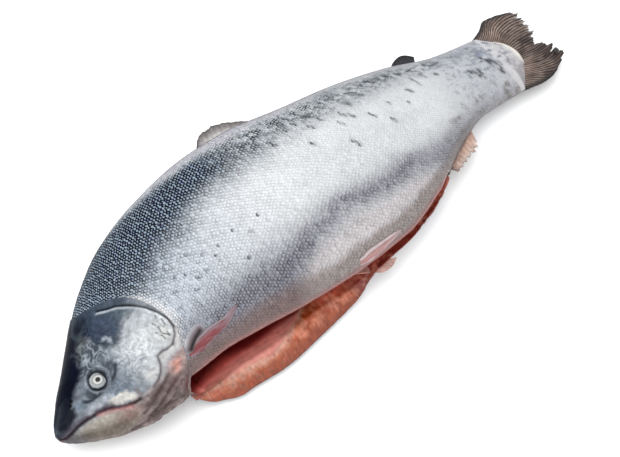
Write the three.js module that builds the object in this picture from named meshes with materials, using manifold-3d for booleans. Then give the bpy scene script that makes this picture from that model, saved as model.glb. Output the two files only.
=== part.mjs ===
// A whole raw fish, gutted and with its head on, lying on its right side.
// Millimetres, +Z up. The head points to -X, the tail to +X, the back to +Y
// and the belly to -Y. The origin is under the middle of the fish, on the
// surface that it lies on.
import * as THREE from 'three';
import { mergeVertices } from 'three/addons/utils/BufferGeometryUtils.js';
import Module from 'manifold-3d';

// Body: named sizes along the fish, by station (0 snout, 1 root of the tail fin)
const BODY_LENGTH = 580;
const STATIONS = [0, 0.01, 0.03, 0.07, 0.12, 0.18, 0.25, 0.33, 0.42, 0.52, 0.62, 0.72, 0.82, 0.91, 1];
const BACK_DEPTH = [4, 10.5, 18, 32, 50.5, 72, 90, 99.5, 103.5, 99, 86, 76.5, 62.5, 44, 37];
const BELLY_DEPTH = [5.5, 14.5, 26, 45, 59, 64.5, 62.5, 72, 83, 92, 93, 80.5, 53.5, 37.5, 39];
const HALF_THICKNESS = [4, 9.5, 15.5, 23, 32, 40, 45, 50, 52, 51, 46, 38, 29, 20, 11];
const AXIS_STATIONS = [0, 0.1, 0.2, 0.32, 0.45, 0.58, 0.7, 0.82, 1];
const AXIS_HEIGHT = [24, 31, 39, 46, 49, 45.5, 38.5, 30, 20];
const BEND_STATION = 0.45;
const HEAD_BEND = 0.171;
const TAIL_BEND = 0.093;
const BEND_POWER = 1.3;
const BACK_FULLNESS = 0.1;
const UNDERSIDE_FLATTENING = 0.12;
const FLATTENED = { begins: 0.12, full: 0.2, fades: 0.74, ends: 0.86 };
const REST_SOFTNESS = 2;
const ORIGIN_SHIFT = [-60.96, -9.37];

// Belly cut, from the throat to the vent, and the hollow behind it
const CUT_STATIONS = [0.19, 0.22, 0.26, 0.33, 0.42, 0.5, 0.56, 0.64, 0.7, 0.765];
const FLAP_REACH = [6, 18, 30, 28.5, 18, 8, 2.5, 1.5, 2, 2.5];
const FLAP_HEIGHT = [14, 6, 5, 5, 5, 8, 26, 29, 28, 30];
const FLAP_CUT_WIDTH = [3, 10, 17, 18, 17, 10, 4, 3, 2.5, 2];
const FLAP_CUT_RISE = [2, 8, 15, 16, 14, 7, -1, -1, -1, -1];
const UPPER_EDGE_ANGLE = [157, 165, 173, 174.5, 179, 176, 177, 173.5, 171, 167];
const FLAP_EDGE_TURN = 0.62;
const OPENED = { begins: 0.176, full: 0.208, fades: 0.735, ends: 0.785 };
const HOLLOW_LIP = { inset: 0.8, drop: 0.35, margin: 0.6 };
const FLAP_SLACK_REACH = 16;
const HOLLOW_REACH = [-35, -8, 12, 20, 22, 20, 12, -4, -26, -50];
const WALL = [12, 13, 14, 16, 18, 17, 15, 13, 11, 9];
const FLOOR = [9, 9, 10, 11, 12, 13, 15, 16, 17, 20];
const HOLLOW_STEPS = 20;
const MOUTH_OF_CUT = 45;
const MOUTH_SLOPE = 0.35;

// Head
const GILL_EDGE_ANGLES = [0, 30, 45, 57, 65, 73, 81, 90, 99, 107, 115, 124, 134, 147, 157, 168, 180];
const GILL_EDGE_STATIONS = [
  0.142, 0.146, 0.159, 0.177, 0.193, 0.207, 0.216, 0.2225, 0.2262,
  0.2275, 0.226, 0.22, 0.213, 0.201, 0.191, 0.181, 0.177,
];
const HEAD_LIFT = 0.8;
const GILL_COVER = { lift: 1.8, begins: 0.72, full: 0.98, tuck: 6, tuckBack: 0.004 };
const CHEEK = { lift: 1.4, station: 0.13, length: 0.022, angle: 112, width: 22 };
const UPPER_LIP = { lift: 1.8, above: 9, width: 7, begins: 0.02, full: 0.05, fades: 0.1, ends: 0.125 };
const ORBIT = { depth: 1.6, length: 0.026, width: 17 };
const MOUTH_STATIONS = [0.012, 0.04, 0.065, 0.085, 0.103, 0.112];
const MOUTH_ANGLES = [138, 122, 120, 126, 134, 138];
const MOUTH_DEPTH = 5;
const MOUTH_GAPE = { above: 6, width: 130, softening: 12, rings: 14 };
const EYE_STATION = 0.093;
const EYE_ANGLE = 96;
const EYE_RADIUS = 9.5;
const EYE_RISE = 3.2;
const EYE_SINK = 0.8;

// Fins: stations, heights off the outline and thicknesses
const TAIL_ROOT = { bow: 0.043, half: 1.2, rings: 4, finBow: 0.02 };
const TAIL_FIN = { root: 0.985, thickness: 5, edge: 1.4, droop: 6, ripple: 0.5, ripples: 40 };
const TAIL_ACROSS = [-1, -0.75, -0.45, -0.2, 0, 0.3, 0.66, 1];
const TAIL_REACH = [0.104, 0.123, 0.121, 0.115, 0.104, 0.113, 0.117, 0.115];
const TAIL_ALONG = [0, 0.3, 0.5, 0.72, 1];
const TAIL_BACK_WIDTH = [36, 43, 50.5, 49, 44];
const TAIL_BELLY_WIDTH = [38, 41.5, 43.5, 42, 32];
const BACK_FIN = { from: 0.464, to: 0.59, height: 20, rake: [0.022, 0.012], sink: 12, thickness: 3.2, edge: 1.4, level: 40 };
const FAT_FIN = { from: 0.834, to: 0.868, height: 8, rake: [0.016, 0.012], sink: 8, thickness: 4.2, edge: 2, level: 30 };
const VENT_FIN = { from: 0.778, to: 0.868, height: 14, rake: [0.012, -0.01], sink: 8, thickness: 3, edge: 1.4, level: 24 };
const FAR_BELLY_FIN = { from: 0.524, to: 0.556, height: 8.5, rake: [0.03, 0.042], sink: 9, thickness: 3, edge: 1.4, level: 24 };
const BREAST_FIN = { stations: [0.214, 0.245, 0.28, 0.318], angles: [141, 143, 143, 135.5], width: 14, rise: 2.6, root: 4 };
const NEAR_BELLY_FIN = { stations: [0.522, 0.55, 0.58, 0.614], angles: [166, 166, 165, 163], width: 13, rise: 2.4, root: 4 };
const FIN_PROFILE_PLACES = [0, 0.16, 0.38, 0.52, 0.66, 0.8, 1];
const BACK_PROFILE = [0.45, 0.93, 1, 0.86, 0.64, 0.42, 0.12];
const FAT_PROFILE = [0.25, 0.6, 0.9, 1, 1, 0.9, 0.4];
const VENT_PROFILE = [0.25, 0.46, 0.66, 0.76, 0.88, 1, 0.95];
const BELLY_PROFILE = [0.3, 0.8, 1, 1, 0.95, 0.8, 0.5];

const BODY_START = 0.03;
const BODY_RINGS = 50;
const BODY_SIDES = 44;
const HEAD_RINGS = 18;
const HEAD_START = 0.004;
const HEAD_CROWDING = 1.25;
const HEAD_OVERLAP = 3;
const AXIS_STEPS = 600;

const rad = THREE.MathUtils.degToRad;
const clamp = THREE.MathUtils.clamp;
const lerp = THREE.MathUtils.lerp;
const smoothstep = THREE.MathUtils.smoothstep;

// Smooth curve through the sizes ys at the places xs, without overshoot
function sizeCurve(xs, ys) {
  const n = xs.length;
  const h = [];
  const d = [];
  for (let i = 0; i < n - 1; i++) {
    h.push(xs[i + 1] - xs[i]);
    d.push((ys[i + 1] - ys[i]) / h[i]);
  }
  const m = new Array(n).fill(0);
  for (let i = 1; i < n - 1; i++) {
    if (d[i - 1] * d[i] > 0) {
      const w1 = 2 * h[i] + h[i - 1];
      const w2 = h[i] + 2 * h[i - 1];
      m[i] = (w1 + w2) / (w1 / d[i - 1] + w2 / d[i]);
    }
  }
  m[0] = d[0];
  m[n - 1] = d[n - 2];
  return (x) => {
    const t = clamp(x, xs[0], xs[n - 1]);
    let i = 0;
    while (i < n - 2 && t > xs[i + 1]) i++;
    const u = (t - xs[i]) / h[i];
    const a = (1 + 2 * u) * (1 - u) * (1 - u);
    const b = u * (1 - u) * (1 - u);
    const c = u * u * (3 - 2 * u);
    const e = u * u * (u - 1);
    return a * ys[i] + b * h[i] * m[i] + c * ys[i + 1] + e * h[i] * m[i + 1];
  };
}

const backDepth = sizeCurve(STATIONS, BACK_DEPTH);
const bellyDepth = sizeCurve(STATIONS, BELLY_DEPTH);
const halfThickness = sizeCurve(STATIONS, HALF_THICKNESS);
const axisHeight = sizeCurve(AXIS_STATIONS, AXIS_HEIGHT);
const flapReach = sizeCurve(CUT_STATIONS, FLAP_REACH);
const flapHeight = sizeCurve(CUT_STATIONS, FLAP_HEIGHT);
const flapCutWidth = sizeCurve(CUT_STATIONS, FLAP_CUT_WIDTH);
const flapCutRise = sizeCurve(CUT_STATIONS, FLAP_CUT_RISE);
const upperEdgeAngle = sizeCurve(CUT_STATIONS, UPPER_EDGE_ANGLE);
const hollowReach = sizeCurve(CUT_STATIONS, HOLLOW_REACH);
const wallThickness = sizeCurve(CUT_STATIONS, WALL);
const floorHeight = sizeCurve(CUT_STATIONS, FLOOR);
const gillEdge = sizeCurve(GILL_EDGE_ANGLES, GILL_EDGE_STATIONS);
const mouthAngle = sizeCurve(MOUTH_STATIONS, MOUTH_ANGLES);
const tailReach = sizeCurve(TAIL_ACROSS, TAIL_REACH);
const tailBackWidth = sizeCurve(TAIL_ALONG, TAIL_BACK_WIDTH);
const tailBellyWidth = sizeCurve(TAIL_ALONG, TAIL_BELLY_WIDTH);

// The bent axis of the fish, in plan
function axisTurn(s) {
  return s < BEND_STATION
    ? HEAD_BEND * Math.pow((BEND_STATION - s) / BEND_STATION, BEND_POWER)
    : -TAIL_BEND * Math.pow((s - BEND_STATION) / (1 - BEND_STATION), BEND_POWER);
}

const axisX = [0];
const axisY = [0];
for (let i = 0; i < AXIS_STEPS; i++) {
  const turn = axisTurn((i + 0.5) / AXIS_STEPS);
  axisX.push(axisX[i] + (Math.cos(turn) * BODY_LENGTH) / AXIS_STEPS);
  axisY.push(axisY[i] + (Math.sin(turn) * BODY_LENGTH) / AXIS_STEPS);
}

function axisPoint(s) {
  const t = clamp(s, 0, 1) * AXIS_STEPS;
  const i = Math.min(Math.floor(t), AXIS_STEPS - 1);
  const turn = axisTurn(clamp(s, 0, 1));
  const past = (s - clamp(s, 0, 1)) * BODY_LENGTH;
  const middle = Math.round(BEND_STATION * AXIS_STEPS);
  const x = lerp(axisX[i], axisX[i + 1], t - i) - axisX[middle] + past * Math.cos(turn);
  const y = lerp(axisY[i], axisY[i + 1], t - i) - axisY[middle] + past * Math.sin(turn);
  return { x, y, turn };
}

// A point of the plane across the fish at station s: y towards the back, z up
function place(s, y, z) {
  const a = axisPoint(s);
  return new THREE.Vector3(
    a.x - y * Math.sin(a.turn) + ORIGIN_SHIFT[0],
    a.y + y * Math.cos(a.turn) + ORIGIN_SHIFT[1],
    z,
  );
}

function restOnSurface(z) {
  if (z > REST_SOFTNESS) return z;
  if (z < -REST_SOFTNESS) return 0;
  return ((z + REST_SOFTNESS) * (z + REST_SOFTNESS)) / (4 * REST_SOFTNESS);
}

// The middle of the fish settles onto the surface, the head and the tail do not
function flattening(s) {
  const f = FLATTENED;
  return 1 + UNDERSIDE_FLATTENING * smoothstep(s, f.begins, f.full) * (1 - smoothstep(s, f.fades, f.ends));
}

// Oval section of the body: angle 0 at the back, 90 up on the left flank,
// 180 at the belly, 270 on the flank that the fish lies on
function oval(s, degrees, lift) {
  const c = Math.cos(rad(degrees));
  const sn = Math.sin(rad(degrees));
  const depth = c > 0 ? backDepth(s) : bellyDepth(s);
  const thick = halfThickness(s) * (sn < 0 ? flattening(s) : 1);
  const nx = c / depth;
  const nz = sn / thick;
  const n = Math.hypot(nx, nz);
  const y = depth * c + (lift * nx) / n;
  const z = axisHeight(s) + thick * sn * (1 + BACK_FULLNESS * c) + (lift * nz) / n;
  return [y, restOnSurface(z)];
}

// How far the belly is opened at station s, 0 to 1
function opened(s) {
  return smoothstep(s, OPENED.begins, OPENED.full) * (1 - smoothstep(s, OPENED.fades, OPENED.ends));
}

// Outline of the body with the slack lower flap laid out on the surface
function outline(s, degrees) {
  const base = oval(s, degrees, 0);
  const open = opened(s);
  if (open === 0 || degrees < 180 || degrees > 270) return base;
  const u = (270 - degrees) / 90;
  const edgeY = -(bellyDepth(s) + flapReach(s));
  const edgeZ = flapHeight(s);
  let y;
  let z;
  if (u < FLAP_EDGE_TURN) {
    const v = u / FLAP_EDGE_TURN;
    y = edgeY * Math.pow(v, 1.1);
    z = lerp(base[1] * (1 - v), edgeZ, Math.pow(v, 3));
  } else {
    const v = (u - FLAP_EDGE_TURN) / (1 - FLAP_EDGE_TURN);
    y = lerp(edgeY, -bellyDepth(s), v);
    z = lerp(edgeZ, axisHeight(s), v);
  }
  return [lerp(base[0], y, open), lerp(base[1], z, open)];
}

// Low forms of the head, as lift over the body's oval
function headLift(s, degrees) {
  const side = degrees <= 180 ? degrees : 360 - degrees;
  const bump = (x, middle, width) => Math.exp(-(((x - middle) / width) ** 2));
  const cover = GILL_COVER.lift * smoothstep(s / gillEdge(side), GILL_COVER.begins, GILL_COVER.full);
  const cheek = CHEEK.lift * bump(s, CHEEK.station, CHEEK.length) * bump(side, CHEEK.angle, CHEEK.width);
  const alongLip = smoothstep(s, UPPER_LIP.begins, UPPER_LIP.full) * (1 - smoothstep(s, UPPER_LIP.fades, UPPER_LIP.ends));
  const lip = UPPER_LIP.lift * bump(side, mouthAngle(s) - UPPER_LIP.above, UPPER_LIP.width) * alongLip;
  const orbit = -ORBIT.depth * bump(s, EYE_STATION, ORBIT.length) * bump(side, EYE_ANGLE, ORBIT.width);
  return HEAD_LIFT + cover + cheek + lip + orbit;
}

// Closed solid from rings of points, with a fan over each end
function loft(rings) {
  const sides = rings[0].length;
  const positions = [];
  const faces = [];
  for (const ring of rings) for (const p of ring) positions.push(p.x, p.y, p.z);
  for (let i = 0; i < rings.length - 1; i++) {
    for (let j = 0; j < sides; j++) {
      const a = i * sides + j;
      const b = i * sides + ((j + 1) % sides);
      faces.push(a, b, b + sides, a, b + sides, a + sides);
    }
  }
  for (const [index, flip] of [[0, true], [rings.length - 1, false]]) {
    const middle = new THREE.Vector3();
    for (const p of rings[index]) middle.addScaledVector(p, 1 / sides);
    const hub = positions.length / 3;
    positions.push(middle.x, middle.y, middle.z);
    for (let j = 0; j < sides; j++) {
      const a = index * sides + j;
      const b = index * sides + ((j + 1) % sides);
      if (flip) faces.push(hub, b, a);
      else faces.push(hub, a, b);
    }
  }
  return closedGeometry(positions, faces);
}

// Closed sheet between two grids of points that share their rims
function sheet(rows, columns, top, under) {
  const positions = [];
  const faces = [];
  const count = (rows + 1) * (columns + 1);
  for (const side of [top, under]) {
    for (let i = 0; i <= rows; i++) {
      for (let j = 0; j <= columns; j++) {
        const p = side(i / rows, j / columns);
        positions.push(p.x, p.y, p.z);
      }
    }
  }
  const at = (i, j, k) => k * count + i * (columns + 1) + j;
  const quad = (a, b, c, d) => faces.push(a, b, c, a, c, d);
  for (let i = 0; i < rows; i++) {
    for (let j = 0; j < columns; j++) {
      quad(at(i, j, 0), at(i + 1, j, 0), at(i + 1, j + 1, 0), at(i, j + 1, 0));
      quad(at(i, j, 1), at(i, j + 1, 1), at(i + 1, j + 1, 1), at(i + 1, j, 1));
    }
    quad(at(i, 0, 0), at(i, 0, 1), at(i + 1, 0, 1), at(i + 1, 0, 0));
    quad(at(i, columns, 0), at(i + 1, columns, 0), at(i + 1, columns, 1), at(i, columns, 1));
  }
  for (let j = 0; j < columns; j++) {
    quad(at(0, j, 0), at(0, j + 1, 0), at(0, j + 1, 1), at(0, j, 1));
    quad(at(rows, j, 0), at(rows, j, 1), at(rows, j + 1, 1), at(rows, j + 1, 0));
  }
  return closedGeometry(positions, faces);
}

function signedVolume(positions, faces) {
  let volume = 0;
  const p = (i) => new THREE.Vector3(positions[3 * i], positions[3 * i + 1], positions[3 * i + 2]);
  for (let f = 0; f < faces.length; f += 3) {
    volume += p(faces[f]).dot(p(faces[f + 1]).cross(p(faces[f + 2]))) / 6;
  }
  return volume;
}

// Geometry with its faces pointing out
function closedGeometry(positions, faces) {
  if (signedVolume(positions, faces) < 0) {
    for (let f = 0; f < faces.length; f += 3) {
      [faces[f + 1], faces[f + 2]] = [faces[f + 2], faces[f + 1]];
    }
  }
  const geometry = new THREE.BufferGeometry();
  geometry.setAttribute('position', new THREE.Float32BufferAttribute(positions, 3));
  geometry.setIndex(faces);
  return geometry;
}

const wasm = await Module();
wasm.setup();

function solid(geometry) {
  const plain = geometry.clone();
  plain.deleteAttribute('normal');
  plain.deleteAttribute('uv');
  const merged = mergeVertices(plain, 1e-4);
  return new wasm.Manifold(new wasm.Mesh({
    numProp: 3,
    vertProperties: new Float32Array(merged.attributes.position.array),
    triVerts: new Uint32Array(merged.index.array),
  }));
}

function bodySolid() {
  const rings = [];
  for (let i = 0; i <= BODY_RINGS; i++) {
    const s = lerp(BODY_START, 1, i / BODY_RINGS);
    const ring = [];
    for (let j = 0; j < BODY_SIDES; j++) {
      const degrees = (360 * j) / BODY_SIDES;
      const under = HEAD_OVERLAP * (1 - smoothstep(s, 0.1, 0.15));
      const [y, z] = under > 0 ? oval(s, degrees, -under) : outline(s, degrees);
      ring.push(place(s, y, z));
    }
    rings.push(ring);
  }
  for (let k = 1; k <= TAIL_ROOT.rings; k++) rings.push(tailRootRing(k / TAIL_ROOT.rings));
  return solid(loft(rings));
}

// Ring of the bowed end of the stalk, which thins down into the tail fin
function tailRootRing(part) {
  const ring = [];
  const half = lerp(halfThickness(1), TAIL_ROOT.half, smoothstep(part, 0, 1));
  for (let j = 0; j < BODY_SIDES; j++) {
    const a = rad((360 * j) / BODY_SIDES);
    const depth = Math.cos(a) > 0 ? backDepth(1) : bellyDepth(1);
    const s = 1 + TAIL_ROOT.bow * part * Math.sin(a) ** 2;
    ring.push(place(s, depth * Math.cos(a), axisHeight(1) + half * Math.sin(a)));
  }
  return ring;
}

// Head skin with the gill covers, whose free rear edge stands off the body
function headSolid() {
  const rings = [];
  for (let i = 0; i <= HEAD_RINGS; i++) {
    const ring = [];
    for (let j = 0; j < BODY_SIDES; j++) {
      const degrees = (360 * j) / BODY_SIDES;
      const side = degrees <= 180 ? degrees : 360 - degrees;
      const s = gillEdge(side) * lerp(HEAD_START, 1, Math.pow(i / HEAD_RINGS, HEAD_CROWDING));
      const [y, z] = oval(s, degrees, headLift(s, degrees));
      ring.push(place(s, y, z));
    }
    rings.push(ring);
  }
  const inner = [];
  for (let j = 0; j < BODY_SIDES; j++) {
    const degrees = (360 * j) / BODY_SIDES;
    const side = degrees <= 180 ? degrees : 360 - degrees;
    const s = gillEdge(side) - GILL_COVER.tuckBack;
    const [y, z] = oval(s, degrees, -GILL_COVER.tuck);
    inner.push(place(s, y, Math.max(z, 2)));
  }
  rings.push(inner);
  return solid(loft(rings));
}

// The gutted hollow, with the open mouth of the cut running out past the belly
function hollowSolid() {
  const rings = [];
  for (let i = 0; i <= HOLLOW_STEPS; i++) {
    const s = lerp(CUT_STATIONS[0], CUT_STATIONS[CUT_STATIONS.length - 1], i / HOLLOW_STEPS);
    const belly = bellyDepth(s);
    const wall = wallThickness(s);
    const reach = hollowReach(s);
    const edgeY = -(belly + flapReach(s));
    const edgeZ = flapHeight(s);
    const ridge = [edgeY + flapCutWidth(s), edgeZ + flapCutRise(s)];
    const slope = flapCutRise(s) / flapCutWidth(s);
    const lip = outline(s, upperEdgeAngle(s));
    const inside = [lip[0] + wall * HOLLOW_LIP.inset, lip[1] - wall * HOLLOW_LIP.drop];
    const slack = clamp(flapReach(s) / FLAP_SLACK_REACH, 0, 1);
    const floor = (part) => {
      const y = lerp(ridge[0], reach, part);
      const across = clamp(y / belly, -1, 1);
      const shell = axisHeight(s) - halfThickness(s) * Math.sqrt(1 - across * across) + wall;
      const z = Math.max(floorHeight(s), lerp(shell, floorHeight(s), slack));
      return [y, lerp(Math.min(z, ridge[1] - 0.5), axisHeight(s), 0.3 * Math.pow(part, 6))];
    };
    const roof = (part) => {
      const y = lerp(inside[0], reach, part);
      const across = clamp(y / belly, -1, 1);
      const top = axisHeight(s) + halfThickness(s) * Math.sqrt(1 - across * across) - wall;
      const end = lerp(floor(1)[1], top, 0.5);
      return [y, Math.max(lerp(Math.max(inside[1], top), end, Math.pow(part, 4)), floor(part)[1] + 1)];
    };
    const points = [
      [edgeY - MOUTH_OF_CUT, edgeZ - slope * MOUTH_OF_CUT * MOUTH_SLOPE],
      [edgeY, edgeZ],
      ridge,
      floor(0.12),
      floor(0.3),
      floor(0.6),
      floor(0.95),
      roof(1),
      roof(0.92),
      roof(0.7),
      roof(0.4),
      roof(0.15),
      inside,
      [lip[0] - HOLLOW_LIP.margin, lip[1] - HOLLOW_LIP.margin],
      [edgeY - MOUTH_OF_CUT, lip[1] - HOLLOW_LIP.margin],
    ];
    rings.push(points.map(([y, z]) => place(s, y, z)));
  }
  return solid(loft(rings));
}

// A fin that stands on the outline, in the plane of the fish. side: 1 back, -1 belly
function outlineFin(fin, side, heights) {
  const depth = side > 0 ? backDepth : bellyDepth;
  const profile = sizeCurve(FIN_PROFILE_PLACES, heights);
  const point = (u, v, face) => {
    const root = lerp(fin.from, fin.to, v);
    const along = root + lerp(fin.rake[0], fin.rake[1], v) * u;
    const y = side * (depth(root) - fin.sink + (fin.sink + fin.height * profile(v)) * u);
    const half = lerp(fin.thickness, fin.edge, u) / 2;
    const ends = Math.pow(Math.sin(Math.PI * lerp(0.08, 0.92, v)), 0.4);
    return place(along, y, fin.level + face * half * ends);
  };
  return solid(sheet(4, 12, (u, v) => point(u, v, 1), (u, v) => point(u, v, -1)));
}

// A fin that lies folded on the flank
function foldedFin(fin) {
  const angle = sizeCurve(fin.stations, fin.angles);
  const first = fin.stations[0];
  const last = fin.stations[fin.stations.length - 1];
  const point = (u, v, lift) => {
    const s = lerp(first, last, u);
    const half = (fin.width / 2) * Math.pow(1 - Math.pow(u, 2.2), 0.7) * lerp(0.75, 1, Math.min(1, u * 3)) + 0.4;
    const [y, z] = oval(s, angle(s), lift);
    const step = oval(s, angle(s) + 1, lift);
    const dy = step[0] - y;
    const dz = step[1] - z;
    const n = Math.hypot(dy, dz);
    const across = (2 * v - 1) * half;
    return place(s, y + (dy / n) * across, z + (dz / n) * across);
  };
  const rise = (u, v) => fin.rise * smoothstep(u, -0.05, 0.2) * (0.55 + 0.45 * Math.sin(Math.PI * v));
  return solid(sheet(12, 5, (u, v) => point(u, v, rise(u, v)), (u, v) => point(u, v, -fin.root)));
}

function tailFinSolid() {
  const f = TAIL_FIN;
  const point = (u, v, face) => {
    const w = 2 * v - 1;
    const y = w * (w > 0 ? tailBackWidth(u) : tailBellyWidth(u));
    const ragged = 0.003 * Math.sin(w * 31) + 0.002 * Math.sin(w * 53 + 1);
    const bow = TAIL_ROOT.finBow * (1 - w * w) * (1 - u);
    const s = f.root + bow + (tailReach(w) + ragged * u) * u;
    const half = lerp(f.thickness, f.edge, Math.pow(u, 0.7)) / 2;
    const ripple = f.ripple * Math.cos(w * f.ripples) * u * (1 - u);
    return place(s, y, axisHeight(1) - f.droop * u * u + face * (half + ripple));
  };
  return solid(sheet(7, 30, (u, v) => point(u, v, 1), (u, v) => point(u, v, -1)));
}

// Groove of the closed mouth on one side. side: 1 left flank, -1 right flank
function mouthGroove(side) {
  const rings = [];
  const first = MOUTH_STATIONS[0];
  const last = MOUTH_STATIONS[MOUTH_STATIONS.length - 1];
  for (let i = 0; i <= MOUTH_GAPE.rings; i++) {
    const s = lerp(first, last, i / MOUTH_GAPE.rings);
    const angle = mouthAngle(s);
    const gape = MOUTH_GAPE.width / (bellyDepth(s) + MOUTH_GAPE.softening);
    const corner = (a, lift) => {
      const [y, z] = oval(s, side > 0 ? a : 360 - a, lift);
      return place(s, y, z);
    };
    rings.push([
      corner(angle - gape, MOUTH_GAPE.above),
      corner(angle, -MOUTH_DEPTH),
      corner(angle + gape, MOUTH_GAPE.above),
    ]);
  }
  return solid(loft(rings));
}

function eyeSolid(side) {
  const angle = side > 0 ? EYE_ANGLE : 360 - EYE_ANGLE;
  const [y, z] = oval(EYE_STATION, angle, -EYE_SINK);
  const [y2, z2] = oval(EYE_STATION, angle, 1);
  const middle = place(EYE_STATION, y, z);
  const out = place(EYE_STATION, y2, z2).sub(middle).normalize();
  const ball = new THREE.SphereGeometry(1, 18, 10);
  const pose = new THREE.Matrix4().compose(
    middle,
    new THREE.Quaternion().setFromUnitVectors(new THREE.Vector3(0, 0, 1), out),
    new THREE.Vector3(EYE_RADIUS * 1.1, EYE_RADIUS, EYE_RISE),
  );
  ball.applyMatrix4(pose);
  return solid(ball);
}

let whole = bodySolid().add(headSolid());
whole = whole.subtract(hollowSolid());
whole = whole.subtract(mouthGroove(1)).subtract(mouthGroove(-1));
whole = whole.add(eyeSolid(1)).add(eyeSolid(-1));
whole = whole.add(tailFinSolid());
whole = whole.add(outlineFin(BACK_FIN, 1, BACK_PROFILE));
whole = whole.add(outlineFin(FAT_FIN, 1, FAT_PROFILE));
whole = whole.add(outlineFin(VENT_FIN, -1, VENT_PROFILE));
whole = whole.add(outlineFin(FAR_BELLY_FIN, -1, BELLY_PROFILE));
whole = whole.add(foldedFin(BREAST_FIN));
whole = whole.add(foldedFin(NEAR_BELLY_FIN));

const { vertProperties, triVerts } = whole.getMesh();
const skin = new THREE.BufferGeometry();
skin.setAttribute('position', new THREE.BufferAttribute(new Float32Array(vertProperties), 3));
skin.setIndex(new THREE.BufferAttribute(new Uint32Array(triVerts), 1));

const fish = new THREE.Mesh(
  skin,
  new THREE.MeshStandardMaterial({ color: 0xa7acb4, roughness: 0.35, metalness: 0.25 }),
);
fish.name = 'fish';

const group = new THREE.Group();
group.add(fish);
export default group;
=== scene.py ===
"""A whole raw fish, gutted, with its head on, lying on its right side on a plain floor."""

import logging
import math
from dataclasses import dataclass
from enum import Enum

import bpy
import numpy as np
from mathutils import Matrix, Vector

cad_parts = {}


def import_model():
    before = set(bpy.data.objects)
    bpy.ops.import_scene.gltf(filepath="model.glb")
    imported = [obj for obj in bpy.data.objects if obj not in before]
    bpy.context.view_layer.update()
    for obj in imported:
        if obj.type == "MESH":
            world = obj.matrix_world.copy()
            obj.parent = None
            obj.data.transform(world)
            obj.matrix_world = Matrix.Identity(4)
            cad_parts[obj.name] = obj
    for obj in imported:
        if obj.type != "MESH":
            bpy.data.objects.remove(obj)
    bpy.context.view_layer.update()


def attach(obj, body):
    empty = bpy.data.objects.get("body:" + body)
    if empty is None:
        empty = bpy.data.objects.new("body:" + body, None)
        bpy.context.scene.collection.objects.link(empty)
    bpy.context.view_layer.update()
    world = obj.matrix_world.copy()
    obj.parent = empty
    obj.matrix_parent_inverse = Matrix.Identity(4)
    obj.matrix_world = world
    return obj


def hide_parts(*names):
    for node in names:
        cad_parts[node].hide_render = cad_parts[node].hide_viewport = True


Array = np.ndarray
Stroke = tuple[tuple[float, float], ...]
Colour = tuple[float, float, float]
MM = 0.001
STUDIO_LIGHT = 1.42
GLOSS_LIFT = 0.012
LOG = logging.getLogger("raw_fish")


def blend_values(a: Array, b: Array, t: Array) -> Array:
    """Return a where t is 0 and b where t is 1."""
    return a + (b - a) * t


def ramp(x: Array, low: float, high: float) -> Array:
    """Rise smoothly from 0 at low to 1 at high.

    Args:
        x: Values to judge.
        low: Where the rise starts.
        high: Where the rise ends.

    Returns:
        Values between 0 and 1.
    """
    t = np.clip((np.asarray(x, float) - low) / (high - low), 0.0, 1.0)
    return t * t * (3.0 - 2.0 * t)


def bell(x: Array, middle: float, width: float) -> Array:
    """Return a smooth bump of height 1 about the middle."""
    return np.exp(-(((np.asarray(x, float) - middle) / width) ** 2))


def paint(red: float, green: float, blue: float) -> Array:
    """Turn a colour seen in the studio, 0 to 255, into the surface's own linear colour.

    Args:
        red: Red, 0 to 255.
        green: Green, 0 to 255.
        blue: Blue, 0 to 255.

    Returns:
        The three linear values, freed of the studio's light and of a thin gloss.
    """
    c = np.array([red, green, blue], float) / 255.0
    seen = np.where(c <= 0.04045, c / 12.92, ((c + 0.055) / 1.055) ** 2.4)
    return np.clip(seen - GLOSS_LIFT, 0.001, None) / STUDIO_LIGHT


def cloud(points: Array, size: float, seed: int) -> Array:
    """Soft lattice noise between -1 and 1.

    Args:
        points: Positions in millimetres, last axis 3.
        size: Distance between lattice points in millimetres.
        seed: Chooses the pattern.

    Returns:
        One value for each point.
    """
    p = np.asarray(points, float) / size + 1000.0
    cell = np.floor(p).astype(np.int64)
    f = p - cell
    f = f * f * (3.0 - 2.0 * f)
    total = np.zeros(p.shape[:-1])
    for corner in range(8):
        step = np.array([(corner >> k) & 1 for k in range(3)])
        c = cell + step
        h = (c[..., 0] * 73856093) ^ (c[..., 1] * 19349663) ^ (c[..., 2] * 83492791) ^ (seed * 2654435761)
        h = (h ^ (h >> 13)) * 1274126177
        value = ((h ^ (h >> 16)) & 0xFFFF) / 32767.5 - 1.0
        weight = np.prod(np.where(step == 1, f, 1.0 - f), axis=-1)
        total += value * weight
    return total


def unit(vectors: Array) -> Array:
    """Return vectors drawn to length 1."""
    return vectors / np.maximum(np.linalg.norm(vectors, axis=-1, keepdims=True), 1e-9)


def layered_cloud(points: Array, size: float, seed: int, layers: int = 3) -> Array:
    """Return the sum of clouds, each half as large and half as strong as the last."""
    return sum(cloud(points, size / 2**k, seed + k) / 2**k for k in range(layers))


def marbled(points: Array, size: float, seed: int, pull: float = 0.9) -> Array:
    """Clouds drawn out into curls by a second, larger cloud, between about -1 and 1.

    Args:
        points: Positions in millimetres, last axis 3.
        size: Size of the curls in millimetres.
        seed: Chooses the pattern.
        pull: How far the curls are drawn out, in sizes.

    Returns:
        One value for each point.
    """
    dx = cloud(points, size * 1.3, seed + 11)
    dy = cloud(points, size * 1.3, seed + 12)
    moved = points + np.stack([dx, dy, 0 * dx], -1) * (size * pull)
    return layered_cloud(moved, size, seed, 4) * 0.75


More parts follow.
